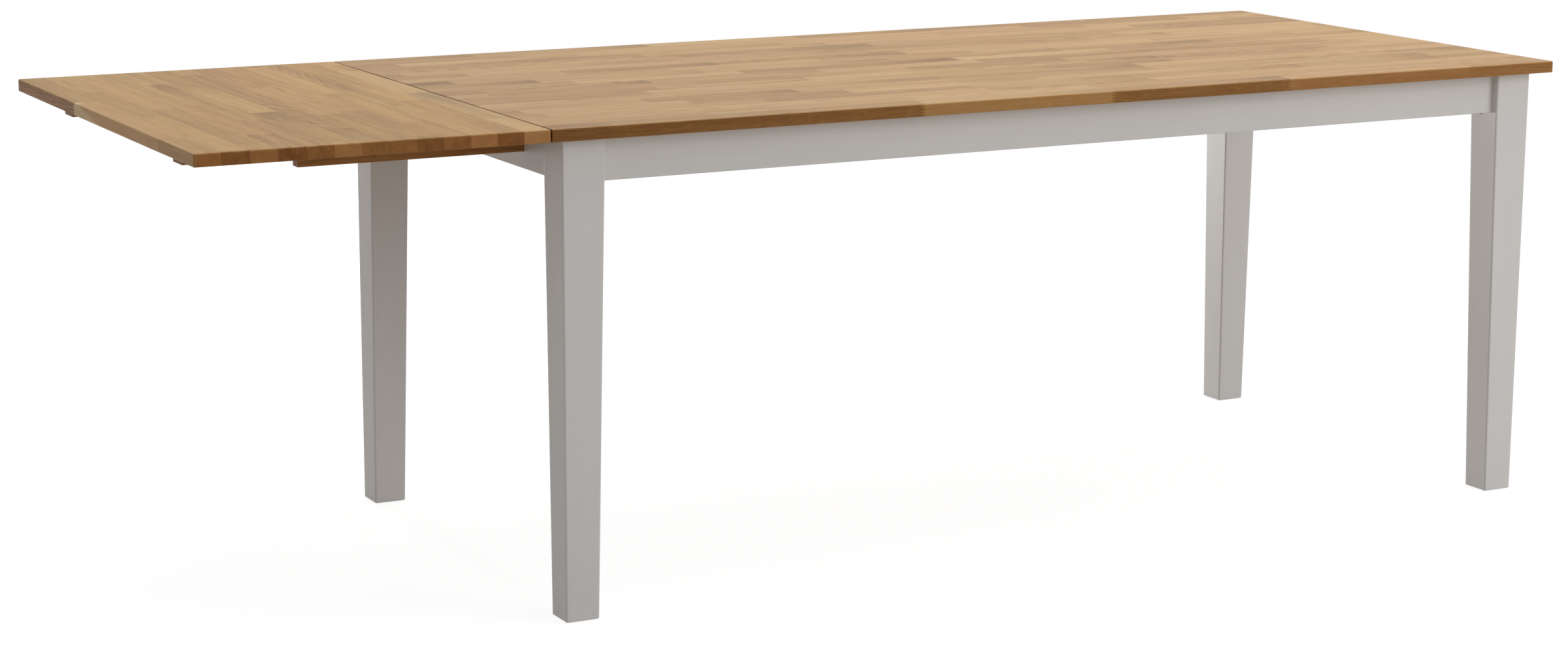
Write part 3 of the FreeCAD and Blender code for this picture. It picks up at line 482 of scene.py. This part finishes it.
def oak(name, oak_settings, run_mm, width_mm, turn, start, seed, painted_shade=(1.0, 1.0, 1.0), sapwood=None):
    """Oak, glued from finger-jointed staves, planed and matt lacquered.

    To the eye: straight strips of slightly different honey browns, fine dark pores and streaks along the
    grain, paler flecks of the rays, and deeper, redder brown with ring arcs where the staves are cut across.
    The pattern is solid: start is the corner where the staves begin, in mm once turned to run along x.
    Sapwood, if any, says in mm where its stave ends, where it reaches the upper face, where the panel's far
    edge lies, and where the pale part of the first stave ends.
    """
    material, put, grain = new_finish(name, turn, start)
    # the shares of painted shade, which make the leaf deeper and more golden than the main top
    deep, middle, pale = ([c * share for c, share in zip(colour, painted_shade)]
                          for colour in (oak_settings.deep, oak_settings.middle, oak_settings.pale))
    along, across, depth = put("ShaderNodeSeparateXYZ", (grain,)).outputs

    # how far the surface is cut across the grain, and how far it is an edge and not a face; edges get a
    # painted shade
    normal = put("ShaderNodeTexCoord").outputs["Normal"]
    facing = put("ShaderNodeMapping", {"Vector": normal, "Rotation": turn}, vector_type="NORMAL")
    facing = put("ShaderNodeVectorMath", (facing,), operation="ABSOLUTE")
    end_on, _, upwards = put("ShaderNodeSeparateXYZ", (facing,)).outputs
    cut_across = put("ShaderNodeMapRange", {"Value": end_on, "From Min": 0.3, "From Max": 0.9})
    edge = put("ShaderNodeMapRange", {"Value": upwards, "From Min": 0.9, "From Max": 0.4})

    # which stave: rows of one width, each shifted by 7.31 staves and cut to random lengths. The long edges
    # show the finger joints between staves as teeth, 4.4 mm apart and 8.8 mm long
    rows = put("ShaderNodeMath", (across, width_mm), operation="DIVIDE")
    row = put("ShaderNodeMath", (rows,), operation="FLOOR")
    in_row = put("ShaderNodeMath", (rows,), operation="FRACT")
    in_row = put("ShaderNodeMath", (in_row, 0.5), operation="SUBTRACT")
    from_middle = put("ShaderNodeMath", (in_row, width_mm), operation="MULTIPLY")
    teeth = put("ShaderNodeMath", (depth, 2.2), operation="PINGPONG")
    tooth = put("ShaderNodeMath", (cut_across, -4.0, 4.0), operation="MULTIPLY_ADD")
    to_tooth = put("ShaderNodeMath", (teeth, tooth, along), operation="MULTIPLY_ADD")
    lengths = put("ShaderNodeMath", (to_tooth, run_mm), operation="DIVIDE")
    lengths = put("ShaderNodeMath", (row, 7.31, lengths), operation="MULTIPLY_ADD")
    lengths = put("ShaderNodeMath", (lengths, seed), operation="ADD")
    stave, stave_end = (
        put("ShaderNodeTexVoronoi", {"W": lengths, "Scale": 1.0, "Randomness": 0.65},
            voronoi_dimensions="1D", feature=feature) for feature in ("F1", "DISTANCE_TO_EDGE"))
    lot = put("ShaderNodeTexWhiteNoise", {"Vector": stave.outputs["Color"]}, noise_dimensions="3D")
    _, tone, side = put("ShaderNodeSeparateColor", (stave.outputs["Color"],)).outputs
    below, spacing, tint = put("ShaderNodeSeparateColor", (lot.outputs["Color"],)).outputs

    # growth rings round a pith 45 to 150 mm off the stave, on any side. They waver by 9 mm over waves 260 mm
    # long and 45 mm wide, and the pith runs out of line by up to 20 mm a stave
    waver_at = put("ShaderNodeMapping", {"Vector": grain, "Scale": (1 / 260, 1 / 45, 1 / 45)})
    by_stave = put("ShaderNodeCombineXYZ", (stave.outputs["W"], tone, 0.0))
    waver_by_stave = put("ShaderNodeVectorMath", (waver_at, by_stave), operation="ADD")
    waver = put("ShaderNodeTexNoise", {"Vector": waver_by_stave, "Scale": 1.0, "Detail": 2.0})
    from_centre = put("ShaderNodeMath", (lengths, stave.outputs["W"]), operation="SUBTRACT")
    slope = put("ShaderNodeMapRange", {"Value": spacing, "To Min": -20.0, "To Max": 20.0})
    run_out = put("ShaderNodeMath", (from_centre, slope), operation="MULTIPLY")
    pith_at = put("ShaderNodeMapRange", {"Value": below, "To Min": 45.0, "To Max": 150.0})
    pith_turn = put("ShaderNodeMath", (side, 6.283), operation="MULTIPLY")
    sideways, downwards = (put("ShaderNodeMath", (pith_turn,), operation=wave) for wave in ("COSINE", "SINE"))
    pith_side = put("ShaderNodeMath", (sideways, pith_at, from_middle), operation="MULTIPLY_ADD")
    pith_below = put("ShaderNodeMath", (downwards, pith_at, depth), operation="MULTIPLY_ADD")
    pith_below = put("ShaderNodeMath", (pith_below, run_out), operation="ADD")
    section = put("ShaderNodeCombineXYZ", (0.0, pith_side, pith_below))
    section = put("ShaderNodeVectorMath", (waver.outputs["Color"], (0.0, 9.0, 9.0), section),
                  operation="MULTIPLY_ADD")
    radius = put("ShaderNodeVectorMath", (section,), operation="LENGTH").outputs["Value"]
    usual_mm = oak_settings.ring * MM
    ring_mm = put("ShaderNodeMapRange",
                  {"Value": spacing, "To Min": usual_mm * 0.6, "To Max": usual_mm * 1.15})
    rings = put("ShaderNodeMath", (radius, ring_mm), operation="DIVIDE")
    rings = put("ShaderNodeMath", (rings,), operation="FRACT")
    late_wood = put("ShaderNodeValToRGB", (rings,))
    set_stops(late_wood, [(place, (grey,) * 3) for place, grey in
                          ((0.0, 0.15), (0.14, 0.0), (0.5, 0.8), (0.88, 1.0), (1.0, 0.15))])

    # pores 60 mm long and 0.8 mm wide, coarser than the real 0.3 mm so that they show. They crowd in the
    # early wood, and show less where they are cut across
    pore_noise = drawn_out(put, grain, 60, 0.8, 1.0)
    pores = put("ShaderNodeMapRange", {"Value": pore_noise, "From Min": 0.52, "From Max": 0.70})
    crowd = put("ShaderNodeMapRange", {"Value": late_wood, "To Min": 1.0, "To Max": 0.35})
    less = put("ShaderNodeMapRange", {"Value": cut_across, "To Min": 1.0, "To Max": 0.35})
    for share in (crowd, less):
        pores = put("ShaderNodeMath", (pores, share), operation="MULTIPLY")

    # fibres 160 mm long and 3 mm wide, and streaks 370 mm long and 17 mm wide, as shares of the waves' size
    fibre = drawn_out(put, waver_by_stave, 1 / 1.6, 1 / 15, 3.0, 0.6)
    streak = drawn_out(put, waver_by_stave, 1 / 0.7, 1 / 2.6, 2.0)

    # rays: thin sheets that run out from the pith, 42 to a radian, 20 mm high and 16 mm long. They are pale
    # lines on an end and flecks on a face
    _, out_y, out_z = put("ShaderNodeSeparateXYZ", (section,)).outputs
    angle = put("ShaderNodeMath", (out_z, out_y), operation="ARCTAN2")
    ray_at = put("ShaderNodeCombineXYZ", [
        put("ShaderNodeMath", (way, scale), operation="MULTIPLY")
        for way, scale in ((angle, 42.0), (radius, 1 / 20), (along, 1 / 16))])
    ray_noise = put("ShaderNodeTexNoise", {"Vector": ray_at, "Scale": 1.0, "Detail": 1.0})
    rays = put("ShaderNodeMapRange", {"Value": ray_noise, "From Min": 0.56, "From Max": 0.70})

    # some staves are darker towards one end
    at_end = put("ShaderNodeMapRange",
                 {"Value": from_centre, "From Min": 0.45, "From Max": 0.10, "To Min": 1.0, "To Max": 0.0})
    some = put("ShaderNodeMapRange", {"Value": tint, "From Min": 0.5, "From Max": 0.7})
    dark_end = put("ShaderNodeMath", (at_end, some), operation="MULTIPLY")

    # the tone of a spot, from 0 for deep to 1 for pale: what each thing adds on a face and on an edge
    # painted shade: a spot starts deeper on an edge than on a face
    spot = put("ShaderNodeMapRange", {"Value": edge, "To Min": -0.24, "To Max": -0.34})
    for source, on_face, on_edge in (
            (tone, 0.32, 0.84), (streak, 0.60, 0.50), (fibre, 0.42, 0.30), (late_wood, 0.14, 0.13),
            (rays, 0.04, 0.12), (pores, -0.11, -0.34), (dark_end, -0.18, 0.0)):
        weight = put("ShaderNodeMapRange", {"Value": edge, "To Min": on_face, "To Max": on_edge})
        spot = put("ShaderNodeMath", (source, weight, spot), operation="MULTIPLY_ADD")
    colour = put("ShaderNodeValToRGB", (spot,))
    set_stops(colour, [(0.0, deep), (0.5, middle), (1.0, pale)])
    hue = put("ShaderNodeMapRange", {"Value": tint, "To Min": 0.496, "To Max": 0.503})
    colour = put("ShaderNodeHueSaturation", {"Hue": hue, "Color": colour})
    # edges take the edge share as painted shade, and faces cut across the grain take the deeper, redder brown
    # of end grain
    for share, left in ((edge, (*oak_settings.edge, 1.0)), (cut_across, (0.80, 0.77, 0.92, 1.0))):
        colour = put("ShaderNodeMix", {"Factor": share, "A": colour, "B": left},
                     data_type="RGBA", blend_type="MULTIPLY")

    if sapwood:
        # a wedge of the outermost stave, below a line that rises by 0.165 mm for each mm along the stave,
        # drops by 0.3 mm for each mm inwards, wavers with the fibres, and is 4.5 mm soft
        rise = put("ShaderNodeMath", (along, 0.165, -0.165 * sapwood["reach"]), operation="MULTIPLY_ADD")
        inwards = put("ShaderNodeMath", (across, 0.3, -0.3 * sapwood["rim"]), operation="MULTIPLY_ADD")
        wedge = put("ShaderNodeMath", (rise, inwards), operation="ADD")
        wedge = put("ShaderNodeMath", (wedge, depth), operation="SUBTRACT")
        wedge = put("ShaderNodeMath", (fibre, 3.0, wedge), operation="MULTIPLY_ADD")
        inside = put("ShaderNodeMapRange", {"Value": wedge, "From Min": 0.0, "From Max": 4.5, "To Max": 0.75})
        # the stave's whole side is a little paler too
        paler = put("ShaderNodeMapRange", {"Value": across, "From Min": sapwood["rim"] - 5,
                                           "From Max": sapwood["rim"], "To Max": 0.2})
        inside = put("ShaderNodeMath", (inside, paler), operation="MAXIMUM")
        before = put("ShaderNodeMath", (to_tooth, sapwood["stave_stop"]), operation="LESS_THAN")
        sap = put("ShaderNodeMath", (inside, before), operation="MULTIPLY")
        # and so is the first stave, along the other side
        first = put("ShaderNodeMapRange", {"Value": across, "From Min": width_mm, "From Max": width_mm + 0.3,
                                           "To Min": 0.18, "To Max": 0.0})
        first = put("ShaderNodeMath", (first, less), operation="MULTIPLY")
        ahead = put("ShaderNodeMath", (to_tooth, sapwood["first_stop"]), operation="LESS_THAN")
        sap = put("ShaderNodeMath", (first, ahead, sap), operation="MULTIPLY_ADD")
        colour = put("ShaderNodeMix", {"Factor": sap, "A": colour, "B": (*oak_settings.sap, 1.0)},
                     data_type="RGBA")

    # glue lines between rows and at stave ends, 0.7 mm wide so that they show
    off_middle = put("ShaderNodeMath", (in_row,), operation="ABSOLUTE")
    to_row = put("ShaderNodeMath", (off_middle, -width_mm, width_mm / 2), operation="MULTIPLY_ADD")
    to_end = put("ShaderNodeMath", (stave_end.outputs["Distance"], run_mm), operation="MULTIPLY")
    to_glue = put("ShaderNodeMath", (to_row, to_end), operation="MINIMUM")
    glue = put("ShaderNodeMapRange",
               {"Value": to_glue, "From Min": 0.15, "From Max": 0.55, "To Min": 0.3, "To Max": 0.0})
    colour = put("ShaderNodeMix", {"Factor": glue, "A": colour, "B": (*oak_settings.deep, 1.0)},
                 data_type="RGBA")

    sunk = put("ShaderNodeMath", (pores, glue), operation="ADD")
    height = put("ShaderNodeMath", (sunk, -1.0, fibre), operation="MULTIPLY_ADD")
    gloss = put("ShaderNodeMapRange", {"Value": pores, "To Min": 0.42, "To Max": 0.62})
    end_finish(put, colour, gloss, height, 0.5, 0.00015, {"IOR": 1.5, "Specular IOR Level": 0.09})
    return material


def paint(name, colour, turn):
    """Satin paint, brushed over close-grained wood.

    To the eye: a warm light grey, even at first sight, with faint lines of the grain below in its gloss and
    tone. The lines run along x once turned.
    """
    material, put, grain = new_finish(name, turn)
    # brush and grain lines 1.6 mm apart and 150 mm long, and a cloudy tone 50 mm wide and 160 mm long
    lines = drawn_out(put, grain, 150, 1.6, 3.0, 0.6)
    cloud = drawn_out(put, grain, 160, 50, 2.0)
    both = put("ShaderNodeMath", (cloud, 0.4), operation="MULTIPLY")
    both = put("ShaderNodeMath", (lines, 0.6, both), operation="MULTIPLY_ADD")
    tone = put("ShaderNodeValToRGB", (both,))
    set_stops(tone, [(place, [c * share for c in colour]) for place, share in ((0.3, 0.97), (0.7, 1.03))])
    gloss = put("ShaderNodeMapRange", {"Value": cloud, "To Min": 0.34, "To Max": 0.50})
    end_finish(put, tone, gloss, lines, 0.2, 0.0001, {"IOR": 1.5})
    return material


def plain_wood(name, pale, dark, turn, fleck_mm):
    """Planed beech or rubberwood with no finish.

    To the eye: pale, warm and dull, with many short darker flecks along the grain and soft wide bands.
    """
    material, put, grain = new_finish(name, turn)
    # flecks 0.7 mm wide, and bands 9 mm wide and 400 mm long
    fleck = drawn_out(put, grain, fleck_mm, 0.7, 1.0)
    flecks = put("ShaderNodeMapRange", {"Value": fleck, "From Min": 0.5, "From Max": 0.72})
    band = drawn_out(put, grain, 400, 9, 3.0)
    spot = put("ShaderNodeMath", (flecks, -0.45, band), operation="MULTIPLY_ADD")
    colour = put("ShaderNodeValToRGB", (spot,))
    set_stops(colour, [(0.15, linear(dark)), (0.7, linear(pale))])
    gloss = put("ShaderNodeMapRange", {"Value": flecks, "To Min": 0.55, "To Max": 0.70})
    end_finish(put, colour, gloss, spot, 0.4, 0.0001, {"IOR": 1.5})
    return material


def zinc():
    """Mild steel, pressed or turned, with bright zinc plating; every fitting shares it.

    To the eye: cool light grey metal, cloudy rather than mirror bright, with faint darker blotches.
    """
    name = "zinc_plated_steel"
    if name in bpy.data.materials:
        return bpy.data.materials[name]
    material, put, place = new_finish(name)
    # blotches of the plating bath 7 mm across, and a 0.6 mm grain of the rolled sheet
    blotch = put("ShaderNodeTexNoise", {"Vector": place, "Scale": 1 / 7, "Detail": 3.0})
    speck = put("ShaderNodeTexNoise", {"Vector": place, "Scale": 1 / 0.6, "Detail": 1.0})
    colour = put("ShaderNodeValToRGB", (blotch,))
    set_stops(colour, [(0.3, linear("#ABAEB2")), (0.7, linear("#C8CBCE"))])
    gloss = put("ShaderNodeMapRange", {"Value": blotch, "To Min": 0.26, "To Max": 0.48})
    end_finish(put, colour, gloss, speck, 0.25, 0.00005, {"Metallic": 1.0})
    return material


def moulded_plastic(name):
    """Polyethylene of the glides, injection moulded in an etched mould.

    To the eye: near-black, dull, with a very fine grain and a slightly scuffed sole.
    """
    material, put, place = new_finish(name)
    # the etched grain is 0.5 mm wide, and the scuffs 12 mm
    etch = put("ShaderNodeTexNoise", {"Vector": place, "Scale": 1 / 0.5, "Detail": 2.0})
    scuff = put("ShaderNodeTexNoise", {"Vector": place, "Scale": 1 / 12, "Detail": 3.0})
    colour = put("ShaderNodeValToRGB", (scuff,))
    set_stops(colour, [(0.35, linear("#2B2928")), (0.75, linear("#3A3836"))])
    gloss = put("ShaderNodeMapRange", {"Value": scuff, "To Min": 0.5, "To Max": 0.68})
    end_finish(put, colour, gloss, etch, 0.3, 0.0001, {"IOR": 1.5})
    return material


# ---------------- operators

class TABLE_OT_panels(bpy.types.Operator):
    """Give the main top and the leaf their glued oak staves"""
    bl_idname = "table.panels"
    bl_label = "Top and leaf"

    def execute(self, context):
        settings = context.scene.table_oak
        low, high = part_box("main_top")
        leaf_low, leaf_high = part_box("leaf_top")
        width = settings.stave_width * MM
        sapwood = {"stave_stop": 135.0, "reach": 105.0, "rim": (leaf_high.x - leaf_low.x) * MM,
                   "first_stop": 316.0}
        finish_nodes(["main_top"], oak(
            "oak_staves_lengthwise", settings, settings.top_stave * MM, width, ALONG_X,
            (0.0, -low.y * MM, -high.z * MM), seed=3395.6213))
        finish_nodes(["leaf_top"], oak(
            "oak_staves_crosswise", settings, settings.leaf_stave * MM, width, ALONG_Y,
            (0.0, leaf_high.x * MM, -leaf_high.z * MM), seed=5345.7240, painted_shade=settings.leaf_painted_shade,
            sapwood=sapwood))
        return {"FINISHED"}


class TABLE_OT_battens(bpy.types.Operator):
    """Give the bearers and the leaf's cleats solid oak, one stave each"""
    bl_idname = "table.battens"
    bl_label = "Bearers and cleats"

    def execute(self, context):
        top_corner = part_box("leaf_cleat_front")[1]
        # rows meet 0.2 mm inside of the cleats, and staves are 4 m long, so no glue line crosses a bar
        row = abs(top_corner.y) * MM - 0.2
        solid = oak("oak_solid_battens", context.scene.table_oak, 4000.0, row, ALONG_X,
                    (1500.0, 2 * row, -top_corner.z * MM), seed=7.0)
        finish_nodes(["bearer_front", "bearer_back", "leaf_cleat_front", "leaf_cleat_back"], solid)
        return {"FINISHED"}


class TABLE_OT_painted_frame(bpy.types.Operator):
    """Paint the legs and the aprons"""
    bl_idname = "table.painted_frame"
    bl_label = "Legs and aprons"

    def execute(self, context):
        colour = context.scene.table_paint.colour
        legs = [name for name in NODES if name.startswith("leg_")]
        finish_nodes(legs, paint("paint_on_legs", colour, ALONG_Z))
        finish_nodes(["apron_front", "apron_back"], paint("paint_on_long_aprons", colour, ALONG_X))
        finish_nodes(["apron_left", "apron_right"], paint("paint_on_end_aprons", colour, ALONG_Y))
        return {"FINISHED"}


class TABLE_OT_rails(bpy.types.Operator):
    """Leave the rails under the top in bare planed wood"""
    bl_idname = "table.rails"
    bl_label = "Rails under the top"

    def execute(self, context):
        finish_nodes(["bearer_guide_rail", "cross_rail_middle", "cross_rail_right"],
                     plain_wood("bare_rubberwood", "#CDB48C", "#A98A5E", ALONG_Y, 14.0))
        return {"FINISHED"}


class TABLE_OT_dowels(bpy.types.Operator):
    """Turn the beech dowels and the bearers' stop pins"""
    bl_idname = "table.dowels"
    bl_label = "Dowels and stop pins"

    def execute(self, context):
        across, along = (plain_wood(f"beech_{way}_the_table", "#D9BE97", "#B08C63", turn, 3.0)
                         for way, turn in (("across", ALONG_Y), ("along", ALONG_X)))
        tree, chamfer, fluted, plain = dowel_tree(), 0.001, 0.0003, 0.0
        for node, wood, body, flute in (
                ("cross_rail_dowels", across, "table_frame", fluted), ("leaf_dowels", along, "leaf", plain),
                ("bearer_stop_pin_front", across, "bearer_front", plain),
                ("bearer_stop_pin_back", across, "bearer_back", plain)):
            places = aims(node)
            set_pieces(node, "turned", tree, places,
                       {"Finish": wood, "Width": context.scene.table_fittings.dowel, "Length": places[0][2],
                        "Chamfer": chamfer, "Flute Depth": flute}, body)
        return {"FINISHED"}


class TABLE_OT_screws(bpy.types.Operator):
    """Set pan-head screws in the brackets, the clips and the leaf's cleats"""
    bl_idname = "table.screws"
    bl_label = "Screws"

    def execute(self, context):
        sizes, tree = context.scene.table_fittings, screw_tree()
        # the cleats' screws are an eighth larger, with a higher head
        for node, share, head_height, body in (
                ("bracket_screws", 1.0, 0.0024, "table_frame"),
                ("top_clip_screws", 1.0, 0.0024, "table_frame"), ("leaf_cleat_screws", 1.125, 0.003, "leaf")):
            places = aims(node)
            set_pieces(node, "turned", tree, places,
                       {"Finish": zinc(), "Head Width": sizes.screw_head * share, "Head Height": head_height,
                        "Shank Width": sizes.screw * share, "Length": places[0][2]}, body)
        return {"FINISHED"}


class TABLE_OT_bolts(bpy.types.Operator):
    """Set the hanger bolts in the legs, each with its washer and nut"""
    bl_idname = "table.bolts"
    bl_label = "Hanger bolts"

    def execute(self, context):
        sizes = context.scene.table_fittings
        # the free ends of the bolts point away from the legs, towards the middle of the table
        low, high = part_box("hanger_bolts")
        middle = (low + high) / 2
        bolts = []
        for place, way, length in aims("hanger_bolts"):
            far = place + way * length
            outwards = (far - middle).length > (place - middle).length
            bolts.append((place, way, length) if outwards else (far, -way, length))
        nuts, washers = aims("hanger_nuts", flat=True), aims("hanger_washers", flat=True)
        thread_depth, threaded, nut_bites, washer_clears = 0.0006, 0.024, 0.0008, 0.0004
        for node, how, tree, places, inputs in (
                ("hanger_bolts", "threaded", bolt_tree(), bolts,
                 {"Width": sizes.bolt, "Thread Depth": thread_depth, "Pitch": sizes.pitch,
                  "Threaded Length": threaded, "Length": bolts[0][2]}),
                ("hanger_nuts", "chamfered", nut_tree(), nuts,
                 {"Flats": sizes.flats, "Height": nuts[0][2], "Bore": sizes.bolt - nut_bites}),
                ("hanger_washers", "pressed", washer_tree(), washers,
                 {"Width": sizes.washer, "Bore": sizes.bolt + washer_clears, "Thickness": washers[0][2]})):
            set_pieces(node, how, tree, places, {"Finish": zinc(), **inputs}, "table_frame")
        return {"FINISHED"}


class TABLE_OT_pressed_steel(bpy.types.Operator):
    """Ease the edges of the corner brackets and the clips that hold the top"""
    bl_idname = "table.pressed_steel"
    bl_label = "Brackets and clips"

    def execute(self, context):
        easing = 0.0003
        for node in NODES:
            if node.startswith("corner_bracket") or node == "top_clips":
                ease(node, easing, zinc(), "table_frame")
        return {"FINISHED"}


class TABLE_OT_glides(bpy.types.Operator):
    """Put the nail-on glides under the legs"""
    bl_idname = "table.glides"
    bl_label = "Glides"

    def execute(self, context):
        low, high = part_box("foot_glides")
        leg_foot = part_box("leg_front_left")[0].z
        nail_width = 0.003
        set_pieces("foot_glides", "moulded", glide_tree(), aims("foot_glides", flat=True),
                   {"Foot Finish": moulded_plastic("moulded_polyethylene"), "Nail Finish": zinc(),
                    "Width": context.scene.table_fittings.glide, "Thickness": leg_foot - low.z,
                    "Nail Width": nail_width, "Length": high.z - low.z}, "table_frame")
        return {"FINISHED"}


def seen_directly(put):
    """1 for a ray from the camera, also by way of gloss or glass, and 0 for one that carries light."""
    rays = put("ShaderNodeLightPath").outputs
    direct = put("ShaderNodeMath", (rays["Is Camera Ray"], rays["Is Glossy Ray"]), operation="MAXIMUM")
    return put("ShaderNodeMath", (direct, rays["Is Transmission Ray"]), operation="MAXIMUM")


class TABLE_OT_stage(bpy.types.Operator):
    """Lay a pale floor, hang soft lamps and stand the camera"""
    bl_idname = "table.stage"
    bl_label = "Floor, light and camera"

    def execute(self, context):
        settings = context.scene.table_stage
        self.lay_floor(context)
        self.light(context, settings.sky)
        self.stand_camera(context, settings.lens)
        context.scene.view_settings.view_transform = "Standard"
        return {"FINISHED"}

    def lay_floor(self, context):
        """A large pale floor that looks white to the camera and keeps the table's shadow."""
        mesh = bpy.data.meshes.new("floor")
        far = 30.0
        mesh.from_pydata([(-far, -far, 0), (far, -far, 0), (far, far, 0), (-far, far, 0)], [], [(0, 1, 2, 3)])
        floor = bpy.data.objects.new("floor", mesh)
        context.scene.collection.objects.link(floor)
        material = bpy.data.materials.new("pale_studio_floor")
        put = empty_tree(material)
        # the camera sees a floor that is nearly white, and the table is lit by a pale one
        glow = put("ShaderNodeEmission", {"Color": WHITE, "Strength": 0.88})
        shade = put("ShaderNodeBsdfDiffuse", {"Color": (0.28, 0.28, 0.28, 1.0)})
        seen = put("ShaderNodeAddShader", (glow, shade))
        plain = put("ShaderNodeBsdfDiffuse", {"Color": (0.53, 0.475, 0.42, 1.0)})
        floor_shader = put("ShaderNodeMixShader", (seen_directly(put), plain, seen))
        put("ShaderNodeOutputMaterial", {"Surface": floor_shader})
        mesh.materials.append(material)

    def light(self, context, sky_strength):
        """An even sky, broad lamps above and in front, and a small low lamp behind."""
        world = context.scene.world or bpy.data.worlds.new("studio")
        context.scene.world = world
        put = empty_tree(world)
        strength = put("ShaderNodeMapRange",
                       {"Value": seen_directly(put), "To Min": sky_strength, "To Max": 1.0})
        sky = put("ShaderNodeBackground", {"Color": WHITE, "Strength": strength})
        put("ShaderNodeOutputWorld", {"Surface": sky})
        aim = Vector((0.1, 0.0, 0.6))
        # the broad lamps leave no hot spots in the lacquer, and the low one lights the legs' left sides
        for name, place, size, power, glints in (("lamp_above", (1.0, 0.3, 3.6), 3.2, 68.5, False),
                                                 ("lamp_front", (3.4, -5.0, 2.2), 3.0, 108.0, False),
                                                 ("lamp_low_behind", (-0.5, 4.4, 0.35), 0.6, 100.0, True)):
            lamp = bpy.data.lights.new(name, "AREA")
            lamp.shape, lamp.size, lamp.energy = "SQUARE", size, power
            stand = bpy.data.objects.new(name, lamp)
            stand.location = place
            stand.visible_glossy = glints
            stand.rotation_euler = (aim - Vector(place)).to_track_quat("-Z", "Y").to_euler()
            context.scene.collection.objects.link(stand)

    def stand_camera(self, context, lens):
        """A long lens from the front left, a little above the top."""
        camera = bpy.data.cameras.new("camera")
        camera.lens, camera.sensor_width, camera.sensor_fit = lens, 36.0, "HORIZONTAL"
        camera.clip_end = 100.0
        stand = bpy.data.objects.new("camera", camera)
        place, yaw, down, roll = (-2.548313, -4.727912, 1.417251), -0.4873013, 0.2020941, 0.0040164
        turn = (Matrix.Rotation(yaw, 4, "Z") @ Matrix.Rotation(radians(90) - down, 4, "X")
                @ Matrix.Rotation(roll, 4, "Z"))
        stand.matrix_world = Matrix.Translation(place) @ turn
        context.scene.collection.objects.link(stand)
        context.scene.camera = stand


class TABLE_PT_table(bpy.types.Panel):
    """Sizes, colours and pieces of the table"""
    bl_label = "Table"
    bl_idname = "TABLE_PT_table"
    bl_space_type = "VIEW_3D"
    bl_region_type = "UI"
    bl_category = "Table"

    def draw(self, context):
        for group in SETTINGS:
            settings = getattr(context.scene, group)
            for name in settings.bl_rna.properties.keys():
                if name not in ("rna_type", "name"):
                    self.layout.prop(settings, name)
        for operator in PIECES:
            self.layout.operator(operator.bl_idname)


SETTINGS = {"table_oak": OakSettings, "table_paint": PaintSettings, "table_fittings": FittingSettings,
            "table_stage": StageSettings}
PIECES = (TABLE_OT_panels, TABLE_OT_battens, TABLE_OT_painted_frame, TABLE_OT_rails, TABLE_OT_dowels,
          TABLE_OT_screws, TABLE_OT_bolts, TABLE_OT_pressed_steel, TABLE_OT_glides, TABLE_OT_stage)
CLASSES = (*SETTINGS.values(), *PIECES, TABLE_PT_table)


def register():
    for cls in CLASSES:
        bpy.utils.register_class(cls)
    for name, group in SETTINGS.items():
        setattr(bpy.types.Scene, name, bpy.props.PointerProperty(type=group))


def unregister():
    for name in SETTINGS:
        delattr(bpy.types.Scene, name)
    for cls in reversed(CLASSES):
        bpy.utils.unregister_class(cls)


def main():
    register()
    bpy.ops.table.panels()
    bpy.ops.table.battens()
    bpy.ops.table.painted_frame()
    bpy.ops.table.rails()
    bpy.ops.table.dowels()
    bpy.ops.table.screws()
    bpy.ops.table.bolts()
    bpy.ops.table.pressed_steel()
    bpy.ops.table.glides()
    bpy.ops.table.stage()


if __name__ == "__main__":
    main()
